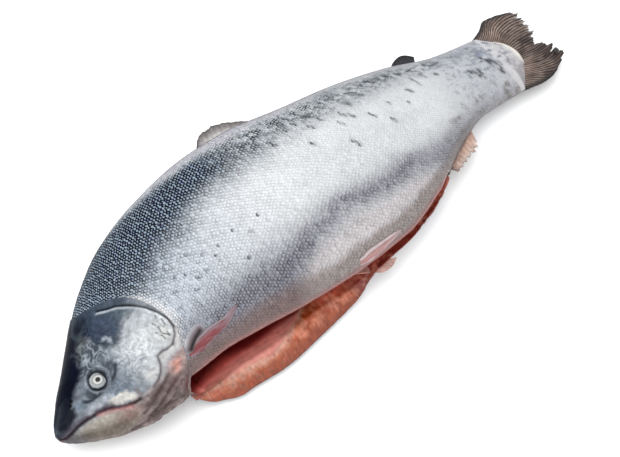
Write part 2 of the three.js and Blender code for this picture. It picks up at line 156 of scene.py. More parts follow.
@dataclass(frozen=True)
class SizeCurve:
    """A smooth curve through sizes at places, without overshoot."""

    places: tuple[float, ...]
    sizes: tuple[float, ...]

    def at(self, x: Array) -> Array:
        """Return the size at x.

        Args:
            x: One place or many.

        Returns:
            The size at each place.
        """
        xs = np.array(self.places, float)
        ys = np.array(self.sizes, float)
        h = np.diff(xs)
        d = np.diff(ys) / h
        m = np.zeros(len(xs))
        for i in range(1, len(xs) - 1):
            if d[i - 1] * d[i] > 0:
                w1 = 2 * h[i] + h[i - 1]
                w2 = h[i] + 2 * h[i - 1]
                m[i] = (w1 + w2) / (w1 / d[i - 1] + w2 / d[i])
        m[0], m[-1] = d[0], d[-1]
        t = np.clip(np.asarray(x, float), xs[0], xs[-1])
        i = np.clip(np.searchsorted(xs, t, side="right") - 1, 0, len(xs) - 2)
        u = (t - xs[i]) / h[i]
        start = (1 + 2 * u) * (1 - u) ** 2 * ys[i] + u * (1 - u) ** 2 * h[i] * m[i]
        end = u * u * (3 - 2 * u) * ys[i + 1] + u * u * (u - 1) * h[i] * m[i + 1]
        return start + end


STATIONS = (0, 0.01, 0.03, 0.07, 0.12, 0.18, 0.25, 0.33, 0.42, 0.52, 0.62, 0.72, 0.82, 0.91, 1)
CUT_STATIONS = (0.19, 0.22, 0.26, 0.33, 0.42, 0.5, 0.56, 0.64, 0.7, 0.765)


@dataclass(frozen=True)
class FishForm:
    """The measured form of the body, in millimetres, by station (0 snout, 1 root of the tail fin)."""

    length: float = 580.0
    back: SizeCurve = SizeCurve(
        STATIONS, (4, 10.5, 18, 32, 50.5, 72, 90, 99.5, 103.5, 99, 86, 76.5, 62.5, 44, 37)
    )
    belly: SizeCurve = SizeCurve(
        STATIONS, (5.5, 14.5, 26, 45, 59, 64.5, 62.5, 72, 83, 92, 93, 80.5, 53.5, 37.5, 39)
    )
    thick: SizeCurve = SizeCurve(STATIONS, (4, 9.5, 15.5, 23, 32, 40, 45, 50, 52, 51, 46, 38, 29, 20, 11))
    axis_height: SizeCurve = SizeCurve(
        (0, 0.1, 0.2, 0.32, 0.45, 0.58, 0.7, 0.82, 1), (24, 31, 39, 46, 49, 45.5, 38.5, 30, 20)
    )
    bend_station: float = 0.45
    head_bend: float = 0.171
    tail_bend: float = 0.093
    bend_power: float = 1.3
    back_fullness: float = 0.1
    flattening: float = 0.12
    rest_softness: float = 2.0
    shift: tuple[float, float] = (-60.96, -9.37)
    flap_reach: SizeCurve = SizeCurve(CUT_STATIONS, (6, 18, 30, 28.5, 18, 8, 2.5, 1.5, 2, 2.5))
    flap_height: SizeCurve = SizeCurve(CUT_STATIONS, (14, 6, 5, 5, 5, 8, 26, 29, 28, 30))
    flap_cut_width: SizeCurve = SizeCurve(CUT_STATIONS, (3, 10, 17, 18, 17, 10, 4, 3, 2.5, 2))
    flap_cut_rise: SizeCurve = SizeCurve(CUT_STATIONS, (2, 8, 15, 16, 14, 7, -1, -1, -1, -1))
    upper_edge: SizeCurve = SizeCurve(CUT_STATIONS, (157, 165, 173, 174.5, 179, 176, 177, 173.5, 171, 167))
    hollow_reach: SizeCurve = SizeCurve(CUT_STATIONS, (-35, -8, 12, 20, 22, 20, 12, -4, -26, -50))
    wall: SizeCurve = SizeCurve(CUT_STATIONS, (12, 13, 14, 16, 18, 17, 15, 13, 11, 9))
    floor: SizeCurve = SizeCurve(CUT_STATIONS, (9, 9, 10, 11, 12, 13, 15, 16, 17, 20))
    gill_edge: SizeCurve = SizeCurve(
        (0, 30, 45, 57, 65, 73, 81, 90, 99, 107, 115, 124, 134, 147, 157, 168, 180),
        (
            0.142, 0.146, 0.159, 0.177, 0.193, 0.207, 0.216, 0.2225, 0.2262,
            0.2275, 0.226, 0.22, 0.213, 0.201, 0.191, 0.181, 0.177,
        ),
    )
    root_bow: float = 0.043
    root_end: float = 1.2
    flap_turn: float = 0.62
    steps: int = 600

    def turn(self, s: Array) -> Array:
        """Angle of the body's axis in plan.

        Args:
            s: Station.

        Returns:
            The angle in radians.
        """
        s = np.clip(s, 0, 1)
        b = self.bend_station
        front = self.head_bend * np.clip((b - s) / b, 0, None) ** self.bend_power
        rear = self.tail_bend * np.clip((s - b) / (1 - b), 0, None) ** self.bend_power
        return front - rear

    def place(self, s: Array, y: Array, z: Array) -> Array:
        """Put a point of the plane across the fish into the frame.

        Args:
            s: Station.
            y: Distance towards the back, in millimetres.
            z: Height over the surface, in millimetres.

        Returns:
            Positions in millimetres, last axis 3.
        """
        s = np.asarray(s, float)
        middles = (np.arange(self.steps) + 0.5) / self.steps
        step = self.length / self.steps
        ax = np.concatenate([[0], np.cumsum(np.cos(self.turn(middles))) * step])
        ay = np.concatenate([[0], np.cumsum(np.sin(self.turn(middles))) * step])
        zero = round(self.bend_station * self.steps)
        grid = np.linspace(0, 1, self.steps + 1)
        t = np.clip(s, 0, 1)
        a = self.turn(t)
        past = (s - t) * self.length
        x0 = np.interp(t, grid, ax) - ax[zero] + past * np.cos(a)
        y0 = np.interp(t, grid, ay) - ay[zero] + past * np.sin(a)
        parts = (x0 - y * np.sin(a) + self.shift[0], y0 + y * np.cos(a) + self.shift[1], z)
        return np.stack(np.broadcast_arrays(*parts), -1)

    def rest_on_surface(self, z: Array) -> Array:
        """Press what would be under the surface flat onto it."""
        k = self.rest_softness
        return np.where(z > k, z, np.where(z < -k, 0.0, (z + k) ** 2 / (4 * k)))

    def oval(self, s: Array, degrees: Array, lift: Array = 0.0) -> tuple[Array, Array]:
        """Oval section of the body.

        Args:
            s: Station.
            degrees: 0 at the back, 90 up on the left flank, 180 belly, 270 or -90 underneath.
            lift: Distance out from the oval, in millimetres.

        Returns:
            Distance towards the back and height, in millimetres.
        """
        s = np.asarray(s, float)
        c, sn = np.cos(np.radians(degrees)), np.sin(np.radians(degrees))
        depth = np.where(c > 0, self.back.at(s), self.belly.at(s))
        flat = 1 + self.flattening * ramp(s, 0.12, 0.2) * (1 - ramp(s, 0.74, 0.86))
        thick = self.thick.at(s) * np.where(sn < 0, flat, 1)
        nx, nz = c / depth, sn / thick
        n = np.hypot(nx, nz)
        y = depth * c + lift * nx / n
        z = self.axis_height.at(s) + thick * sn * (1 + self.back_fullness * c) + lift * nz / n
        return y, self.rest_on_surface(z)

    def opened(self, s: Array) -> Array:
        """Return how far the belly is opened, 0 to 1."""
        return ramp(s, 0.176, 0.208) * (1 - ramp(s, 0.735, 0.785))

    def outline(self, s: Array, degrees: Array) -> tuple[Array, Array]:
        """Section with the slack lower flap laid out on the surface.

        Args:
            s: Station.
            degrees: As for the oval.

        Returns:
            Distance towards the back and height, in millimetres.
        """
        s = np.asarray(s, float)
        around = np.mod(degrees, 360.0)
        y0, z0 = self.oval(s, around)
        u = np.clip((270 - around) / 90, 0, 1)
        edge_y = -(self.belly.at(s) + self.flap_reach.at(s))
        edge_z = self.flap_height.at(s)
        v = np.clip(u / self.flap_turn, 0, 1)
        w = np.clip((u - self.flap_turn) / (1 - self.flap_turn), 0, 1)
        low_y = edge_y * v**1.1
        low_z = blend_values(z0 * (1 - v), edge_z, v**3)
        y = np.where(u < self.flap_turn, low_y, blend_values(edge_y, -self.belly.at(s), w))
        z = np.where(u < self.flap_turn, low_z, blend_values(edge_z, self.axis_height.at(s), w))
        open_here = np.where((around >= 180) & (around <= 270), self.opened(s), 0.0)
        return blend_values(y0, y, open_here), blend_values(z0, z, open_here)

    def skin(self, s: Array, degrees: Array) -> Array:
        """Return points of the outer skin in millimetres."""
        return self.place(s, *self.outline(s, degrees))

    def tail_root(self, part: Array, degrees: Array) -> Array:
        """Return points of the skin where it thins and bows out over the tail fin.

        Args:
            part: 0 at the last full section, 1 at the thin end.
            degrees: As for the oval.

        Returns:
            Positions in millimetres, last axis 3.
        """
        c, sn = np.cos(np.radians(degrees)), np.sin(np.radians(degrees))
        half = blend_values(self.thick.at(1.0), self.root_end, ramp(part, 0.0, 1.0))
        depth = np.where(c > 0, self.back.at(1.0), self.belly.at(1.0))
        s = 1.0 + self.root_bow * part * sn * sn
        return self.place(s, depth * c, self.axis_height.at(1.0) + half * sn)

    def flank(self, s: Array, side: Array) -> Array:
        """Return points of the plain left flank, which both sides are measured on."""
        return self.place(s, *self.oval(s, side))

    @property
    def flap_edge_angle(self) -> float:
        """Angle of the lower flap's edge, counted down from the back."""
        return 270 - 90 * self.flap_turn


def build_mesh(name: str, points: Array, faces: Array | list) -> bpy.types.Object:
    """Make an object from points in millimetres and faces.

    Args:
        name: Name of the piece.
        points: Positions in millimetres, shape (n, 3).
        faces: Corner numbers, shape (m, 3 or 4), or a list of such rows.

    Returns:
        The new object, linked to the scene.
    """
    mesh = bpy.data.meshes.new(name)
    mesh.from_pydata((np.asarray(points) * MM).tolist(), [], [tuple(map(int, f)) for f in faces])
    mesh.validate()
    mesh.shade_smooth()
    piece = bpy.data.objects.new(name, mesh)
    bpy.context.scene.collection.objects.link(piece)
    return piece


def store(piece: bpy.types.Object, name: str, kind: str, values: Array) -> None:
    """Store a point attribute on a piece.

    Args:
        piece: The object.
        name: Name of the attribute.
        kind: FLOAT, FLOAT_VECTOR or FLOAT_COLOR.
        values: One row for each point.
    """
    layer = piece.data.attributes.new(name, kind, "POINT")
    if kind == "FLOAT_COLOR":
        rows = np.concatenate([values, np.ones((len(values), 1))], 1)
        layer.data.foreach_set("color", rows.astype(np.float32).ravel())
    elif kind == "FLOAT_VECTOR":
        layer.data.foreach_set("vector", np.asarray(values, np.float32).ravel())
    else:
        layer.data.foreach_set("value", np.asarray(values, np.float32).ravel())


def grid_faces(rows: int, columns: int, closed: bool = False, start: int = 0, flip: bool = False) -> Array:
    """Four-cornered faces over a grid of points.

    Args:
        rows: Number of rows of points.
        columns: Number of points in a row.
        closed: True where the last column joins the first.
        start: Number of the first point.
        flip: Turn the faces over.

    Returns:
        Corner numbers, shape (n, 4).
    """
    i, j = np.meshgrid(np.arange(rows - 1), np.arange(columns if closed else columns - 1), indexing="ij")
    k = (j + 1) % columns
    a, b = i * columns + j, i * columns + k
    quads = np.stack([a, b, b + columns, a + columns], -1).reshape(-1, 4) + start
    return quads[:, ::-1] if flip else quads


def capped_faces(rows: int, columns: int, closed: bool = True, flip: bool = False) -> list:
    """Faces over a grid whose first and last rows each close to a middle point.

    Args:
        rows: Number of rows of points.
        columns: Number of points in a row.
        closed: True where the last column joins the first.
        flip: Turn the faces over.

    Returns:
        Corner numbers. The first and last middle points come after the points of the grid.
    """
    faces = list(grid_faces(rows, columns, closed=closed, flip=flip))
    hub = rows * columns
    last = hub - columns
    for j in range(columns):
        k = (j + 1) % columns
        near, far = (hub, k, j), (hub + 1, last + j, last + k)
        faces += [near[::-1], far[::-1]] if flip else [near, far]
    return faces


def grid_normals(points: Array) -> Array:
    """Return a grid's unit normals, down the rows crossed with along the columns."""
    return unit(np.cross(np.gradient(points, axis=0), np.gradient(points, axis=1)))


def distance_to_stroke(points: Array, stroke: Array) -> Array:
    """Distance from points to a line of joined points.

    Args:
        points: Positions in millimetres, last axis 3.
        stroke: Corners of the line in millimetres, shape (n, 3).

    Returns:
        Distances in millimetres.
    """
    best = np.full(points.shape[:-1], 1e9)
    for a, b in zip(stroke[:-1], stroke[1:]):
        ab = b - a
        t = np.clip(((points - a) @ ab) / max(float(ab @ ab), 1e-9), 0, 1)
        best = np.minimum(best, np.linalg.norm(points - a - t[..., None] * ab, axis=-1))
    return best


def inside_outline(s: Array, side: Array, outline: Stroke) -> Array:
    """Tell which places lie inside a closed outline.

    Args:
        s: Stations.
        side: Angles from the back.
        outline: Corners of the outline, by station and angle.

    Returns:
        True inside the outline.
    """
    hit = np.zeros(np.broadcast(s, side).shape, bool)
    n = len(outline)
    for i in range(n):
        s0, d0 = outline[i]
        s1, d1 = outline[(i + 1) % n]
        if d0 == d1:
            continue
        crosses = (d0 > side) != (d1 > side)
        hit ^= crosses & (s < (s1 - s0) * (side - d0) / (d1 - d0) + s0)
    return hit


class FlankMap:
    """Measures places on a flank against strokes drawn by station and angle."""

    def __init__(self, form: FishForm, s: Array, side: Array) -> None:
        """Keep the places.

        Args:
            form: The body's form.
            s: Stations.
            side: Angles from the back, 0 to 180 on either side.
        """
        self.form = form
        self.s = s
        self.side = side
        self.points = form.flank(s, side)

    def distance(self, stroke: Stroke) -> Array:
        """Measure the distance to a stroke.

        Args:
            stroke: Corners of the stroke, by station and angle.

        Returns:
            Distances in millimetres.
        """
        knots = np.array(stroke, float)
        fine = np.linspace(0, len(knots) - 1, 4 * len(knots))
        order = np.arange(len(knots))
        ks = np.interp(fine, order, knots[:, 0])
        kd = np.interp(fine, order, knots[:, 1])
        return distance_to_stroke(self.points, self.form.flank(ks, kd))

    def line(self, stroke: Stroke, width: float) -> Array:
        """Return 1 on a stroke, falling to 0 over its width in millimetres."""
        return np.exp(-((self.distance(stroke) / width) ** 2))

    def plate(self, outline: Stroke, softness: float) -> Array:
        """Mask of a closed outline.

        Args:
            outline: Corners, by station and angle.
            softness: Width of the soft edge in millimetres.

        Returns:
            1 inside the outline and 0 outside.
        """
        gap = self.distance(outline + (outline[0],))
        signed = np.where(inside_outline(self.s, self.side, outline), gap, -gap)
        return ramp(signed, -softness / 2, softness / 2)

    def spot(self, s: float, side: float) -> Array:
        """Return the distance in millimetres to one place."""
        return np.linalg.norm(self.points - self.form.flank(np.array(s), np.array(side)), axis=-1)


class Slot(Enum):
    """The record's material slots."""

    SKIN = "fish_skin"
    FLESH = "flesh"
    FIN = "fin_membrane"
    EYE = "eye"


class Painter:
    """Lays shades over a piece's points, one over another."""

    def __init__(self, shape: tuple[int, ...], base: Colour) -> None:
        """Start from one shade.

        Args:
            shape: Shape of the set of points.
            base: The shade as it is seen, 0 to 255.
        """
        self.colour = np.broadcast_to(paint(*base), shape + (3,)).copy()

    def lay(self, mask: Array, shade: Colour, strength: float = 1.0) -> None:
        """Blend a shade in where the mask is 1.

        Args:
            mask: Values between 0 and 1.
            shade: The shade as it is seen, 0 to 255.
            strength: Share of the shade where the mask is 1.
        """
        share = np.clip(mask * strength, 0, 1)[..., None]
        self.colour = blend_values(self.colour, paint(*shade), share)


class NodeBench:
    """Short calls for building a node tree."""

    def __init__(self, tree: bpy.types.NodeTree) -> None:
        """Keep the tree."""
        self.tree = tree

    def add(self, kind: str, links: dict | None = None, **settings: object) -> bpy.types.Node:
        """Add a node.

        Args:
            kind: The node's type name.
            links: Input name or number to a value or to another node's output.
            settings: Properties of the node.

        Returns:
            The new node.
        """
        node = self.tree.nodes.new(kind)
        for key, value in settings.items():
            setattr(node, key, value)
        for key, value in (links or {}).items():
            socket = node.inputs[key]
            if isinstance(value, bpy.types.NodeSocket):
                self.tree.links.new(value, socket)
            else:
                socket.default_value = value
        return node

    def math(self, operation: str, *values: object) -> bpy.types.NodeSocket:
        """Return the output of a maths node."""
        return self.add("ShaderNodeMath", dict(enumerate(values)), operation=operation).outputs[0]

    def painted(self, name: str, output: str = "Fac") -> bpy.types.NodeSocket:
        """Return a surface attribute for a material."""
        return self.add("ShaderNodeAttribute", attribute_name=name).outputs[output]

    def stored(self, name: str, kind: str = "FLOAT") -> bpy.types.NodeSocket:
        """Return a named attribute for a geometry tree."""
        node = self.add("GeometryNodeInputNamedAttribute", {"Name": name}, data_type=kind)
        return self.live(node.outputs, "Attribute")

    def live(self, sockets: object, name: str) -> bpy.types.NodeSocket:
        """Return the socket of that name that is in use."""
        return next(s for s in sockets if s.name == name and s.enabled)

    def dress(self, made: bpy.types.NodeSocket, finish: bpy.types.NodeSocket) -> bpy.types.NodeTree:
        """End a geometry tree: make what is placed real and give it its finish.

        Args:
            made: The geometry.
            finish: The material.

        Returns:
            The finished tree.
        """
        real = self.add("GeometryNodeRealizeInstances", {0: made})
        dressed = self.add("GeometryNodeSetMaterial", {"Geometry": real.outputs[0], "Material": finish})
        self.add("NodeGroupOutput", {0: dressed.outputs[0]})
        return self.tree

    def mix(self, factor: object, a: object, b: object, how: str = "MIX") -> bpy.types.NodeSocket:
        """Mix two colours.

        Args:
            factor: Share of the second colour.
            a: First colour.
            b: Second colour.
            how: Way of mixing.

        Returns:
            The mixed colour.
        """
        node = self.add("ShaderNodeMix", data_type="RGBA", blend_type=how)
        for key, value in ((0, factor), (6, a), (7, b)):
            if isinstance(value, bpy.types.NodeSocket):
                self.tree.links.new(value, node.inputs[key])
            else:
                node.inputs[key].default_value = value
        return node.outputs[2]


def wet_grain_group() -> bpy.types.NodeTree:
    """Node group for moist tissue: mottling and fine grain from Object coordinates.

    Returns:
        The group, with outputs Mottle, Grain and Gloss.
    """
    found = bpy.data.node_groups.get("wet_grain")
    if found:
        return found
    group = bpy.data.node_groups.new("wet_grain", "ShaderNodeTree")
    for name in ("Mottle Scale", "Grain Scale", "Roughness", "Spread"):
        group.interface.new_socket(name, in_out="INPUT", socket_type="NodeSocketFloat")
    for name in ("Mottle", "Grain", "Gloss"):
        group.interface.new_socket(name, in_out="OUTPUT", socket_type="NodeSocketFloat")
    bench = NodeBench(group)
    given = bench.add("NodeGroupInput")
    where = bench.add("ShaderNodeTexCoord").outputs["Object"]
    mottle = bench.add(
        "ShaderNodeTexNoise",
        {"Vector": where, "Scale": given.outputs["Mottle Scale"], "Detail": 4.0, "Roughness": 0.6},
    )
    grain = bench.add(
        "ShaderNodeTexNoise", {"Vector": where, "Scale": given.outputs["Grain Scale"], "Detail": 2.0}
    )
    centred = bench.math("SUBTRACT", mottle.outputs["Fac"], 0.5)
    spread = bench.math("MULTIPLY", centred, given.outputs["Spread"])
    gloss = bench.math("ADD", given.outputs["Roughness"], spread)
    given_out = bench.add("NodeGroupOutput")
    group.links.new(mottle.outputs["Fac"], given_out.inputs["Mottle"])
    group.links.new(grain.outputs["Fac"], given_out.inputs["Grain"])
    group.links.new(gloss, given_out.inputs["Gloss"])
    return group


def start_material(name: str) -> tuple[bpy.types.Material, NodeBench]:
    """Make a material with an empty node tree.

    Args:
        name: Name of the material.

    Returns:
        The material and the bench that its nodes are built on.
    """
    material = bpy.data.materials.new(name)
    material.use_nodes = True
    material.node_tree.nodes.clear()
    return material, NodeBench(material.node_tree)


@dataclass(frozen=True)
class WetFinish:
    """A moist finish whose colour comes from the piece's own tint attribute."""

    name: str
    roughness: float = 0.35
    spread: float = 0.2
    metallic: float = 0.0
    specular: float = 0.22
    coat: float = 0.1
    coat_roughness: float = 0.15
    mottle_scale: float = 60.0
    grain_scale: float = 900.0
    mottle: float = 0.25
    grain: float = 0.15
    bump: float = 0.2
    bump_distance: float = 0.0004
    subsurface: float = 0.0
    subsurface_radius: Colour = (0.006, 0.002, 0.0015)
    painted_light_and_shade: bool = False
    crest_start: float = 0.46
    crest_end: float = 0.73

    def build(self) -> bpy.types.Material:
        """Build the material.

        Returns:
            The finished material.
        """
        material, bench = start_material(self.name)
        tree = bench.tree
        grain = bench.add("ShaderNodeGroup", node_tree=wet_grain_group())
        grain.inputs["Mottle Scale"].default_value = self.mottle_scale
        grain.inputs["Grain Scale"].default_value = self.grain_scale
        grain.inputs["Roughness"].default_value = self.roughness
        grain.inputs["Spread"].default_value = self.spread
        tint = bench.painted("tint", "Color")
        # Painted light and shade: each scale blends from the painted shade of its pocket to the painted
        # highlight of its crest.
        if self.painted_light_and_shade:
            crest = bench.add(
                "ShaderNodeMapRange",
                {"Value": bench.painted("lit"), "From Min": self.crest_start, "From Max": self.crest_end},
                interpolation_type="SMOOTHSTEP",
            )
            tint = bench.mix(crest.outputs[0], bench.painted("under", "Color"), tint)
        shade = bench.math("MULTIPLY_ADD", grain.outputs["Mottle"], 2 * self.mottle, 1 - self.mottle)
        fine = bench.math("MULTIPLY_ADD", grain.outputs["Grain"], 2 * self.grain, 1 - self.grain)
        both = bench.math("MULTIPLY", shade, fine)
        grey = bench.add("ShaderNodeCombineColor", {0: both, 1: both, 2: both})
        colour = bench.mix(1.0, tint, grey.outputs[0], "MULTIPLY")
        shine = bench.painted("shine")
        bump = bench.add(
            "ShaderNodeBump",
            {"Strength": self.bump, "Distance": self.bump_distance, "Height": grain.outputs["Grain"]},
        )
        shader = bench.add(
            "ShaderNodeBsdfPrincipled",
            {
                "Base Color": colour,
                "Roughness": grain.outputs["Gloss"],
                "Normal": bump.outputs["Normal"],
                "Coat Weight": self.coat,
                "Coat Roughness": self.coat_roughness,
                "Specular IOR Level": self.specular,
            },
        )
        if self.metallic:
            metal = bench.math("MULTIPLY", shine, self.metallic)
            tree.links.new(metal, shader.inputs["Metallic"])
            gloss = bench.math("MULTIPLY_ADD", shine, 0.85 * self.specular, 0.15 * self.specular)
            tree.links.new(gloss, shader.inputs["Specular IOR Level"])
        if self.subsurface:
            shader.inputs["Subsurface Weight"].default_value = self.subsurface
            shader.inputs["Subsurface Radius"].default_value = self.subsurface_radius
            shader.inputs["Subsurface Scale"].default_value = 1.0
        bench.add("ShaderNodeOutputMaterial", {"Surface": shader.outputs[0]})
        return material


@dataclass(frozen=True)
class EyeFinish:
    """Clear wet eye: black pupil, pale silver iris with fine streaks, dark rim."""

    name: str = "wet_eye"
    roughness: float = 0.15
    coat: float = 0.12
    coat_roughness: float = 0.03
    specular: float = 0.15
    streak_scale: float = 500.0
    streak_reach: float = 0.18
    rings: tuple[tuple[float, Colour], ...] = (
        (0.0, (4, 4, 6)), (0.24, (10, 11, 14)), (0.3, (178, 178, 174)), (0.37, (206, 207, 203)),
        (0.48, (186, 187, 184)), (0.55, (112, 114, 116)), (0.62, (156, 159, 160)), (0.76, (160, 164, 167)),
        (0.86, (118, 123, 128)), (0.92, (62, 66, 72)), (0.97, (28, 30, 36)),
    )

    def build(self) -> bpy.types.Material:
        """Build the material.

        Returns:
            The finished material.
        """
        material, bench = start_material(self.name)
        where = bench.add("ShaderNodeTexCoord").outputs["Object"]
        noise = bench.add(
            "ShaderNodeTexNoise", {"Vector": where, "Scale": self.streak_scale, "Detail": 3.0}
        )
        wobble = bench.math("MULTIPLY_ADD", noise.outputs["Fac"], self.streak_reach, -self.streak_reach / 2)
        place = bench.math("ADD", bench.painted("reach"), wobble)
        ramp_node = bench.add("ShaderNodeValToRGB", {"Fac": place})
        stops = ramp_node.color_ramp.elements
        for i, (position, colour) in enumerate(self.rings):
            stop = stops[i] if i < 2 else stops.new(position)
            stop.position = position
            stop.color = (*paint(*colour), 1)
        shader = bench.add(
            "ShaderNodeBsdfPrincipled",
            {
                "Base Color": ramp_node.outputs["Color"],
                "Roughness": self.roughness,
                "Coat Weight": self.coat,
                "Coat Roughness": self.coat_roughness,
                "Specular IOR Level": self.specular,
            },
        )
        bench.add("ShaderNodeOutputMaterial", {"Surface": shader.outputs[0]})
        return material


@dataclass(frozen=True)
class FloorFinish:
    """Plain matt white floor."""

    name: str = "plain_floor"
    brightness: float = 0.93
    roughness: float = 0.9

    def build(self) -> bpy.types.Material:
        """Build the material.

        Returns:
            The finished material.
        """
        material = bpy.data.materials.new(self.name)
        material.use_nodes = True
        shader = material.node_tree.nodes["Principled BSDF"]
        shader.inputs["Base Color"].default_value = (self.brightness,) * 3 + (1,)
        shader.inputs["Roughness"].default_value = self.roughness
        return material


def register(piece: bpy.types.Object, slot: Slot, material: bpy.types.Material) -> bpy.types.Object:
    """Dress a piece, let it stand for the fish and report it.

    Args:
        piece: The finished object.
        slot: The record's slot that it takes its finish from.
        material: Its material.

    Returns:
        The same object.
    """
    piece.data.materials.clear()
    piece.data.materials.append(material)
    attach(piece, "root")
    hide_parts("fish")
    LOG.info("%s: %d faces, slot %s", piece.name, len(piece.data.polygons), slot.value)
    return piece


def run_tree(
    piece: bpy.types.Object, tree: bpy.types.NodeTree, inputs: dict[str, object]
) -> bpy.types.Object:
    """Run a Geometry Nodes tree on a piece and keep the result as a plain mesh.

    Args:
        piece: The object that carries the starting points.
        tree: The node tree.
        inputs: Input name to value.

    Returns:
        The same object with its new mesh.
    """
    modifier = piece.modifiers.new("make", "NODES")
    modifier.node_group = tree
    for item in tree.interface.items_tree:
        if item.item_type == "SOCKET" and item.in_out == "INPUT" and item.name in inputs:
            modifier[item.identifier] = inputs[item.name]
    graph = bpy.context.evaluated_depsgraph_get()
    graph.update()
    mesh = bpy.data.meshes.new_from_object(
        piece.evaluated_get(graph), preserve_all_data_layers=True, depsgraph=graph
    )
    piece.modifiers.remove(modifier)
    old = piece.data
    piece.data = mesh
    bpy.data.meshes.remove(old)
    mesh.name = piece.name
    return piece


@dataclass(frozen=True)
class Tone:
    """How one part of the skin looks: the crest of a scale, painted lighter as if lit, and the pocket
    before the next one, painted darker as the shade under the scale ahead, both over the skin's own tone.
    """

    crest: Colour
    pocket: Colour


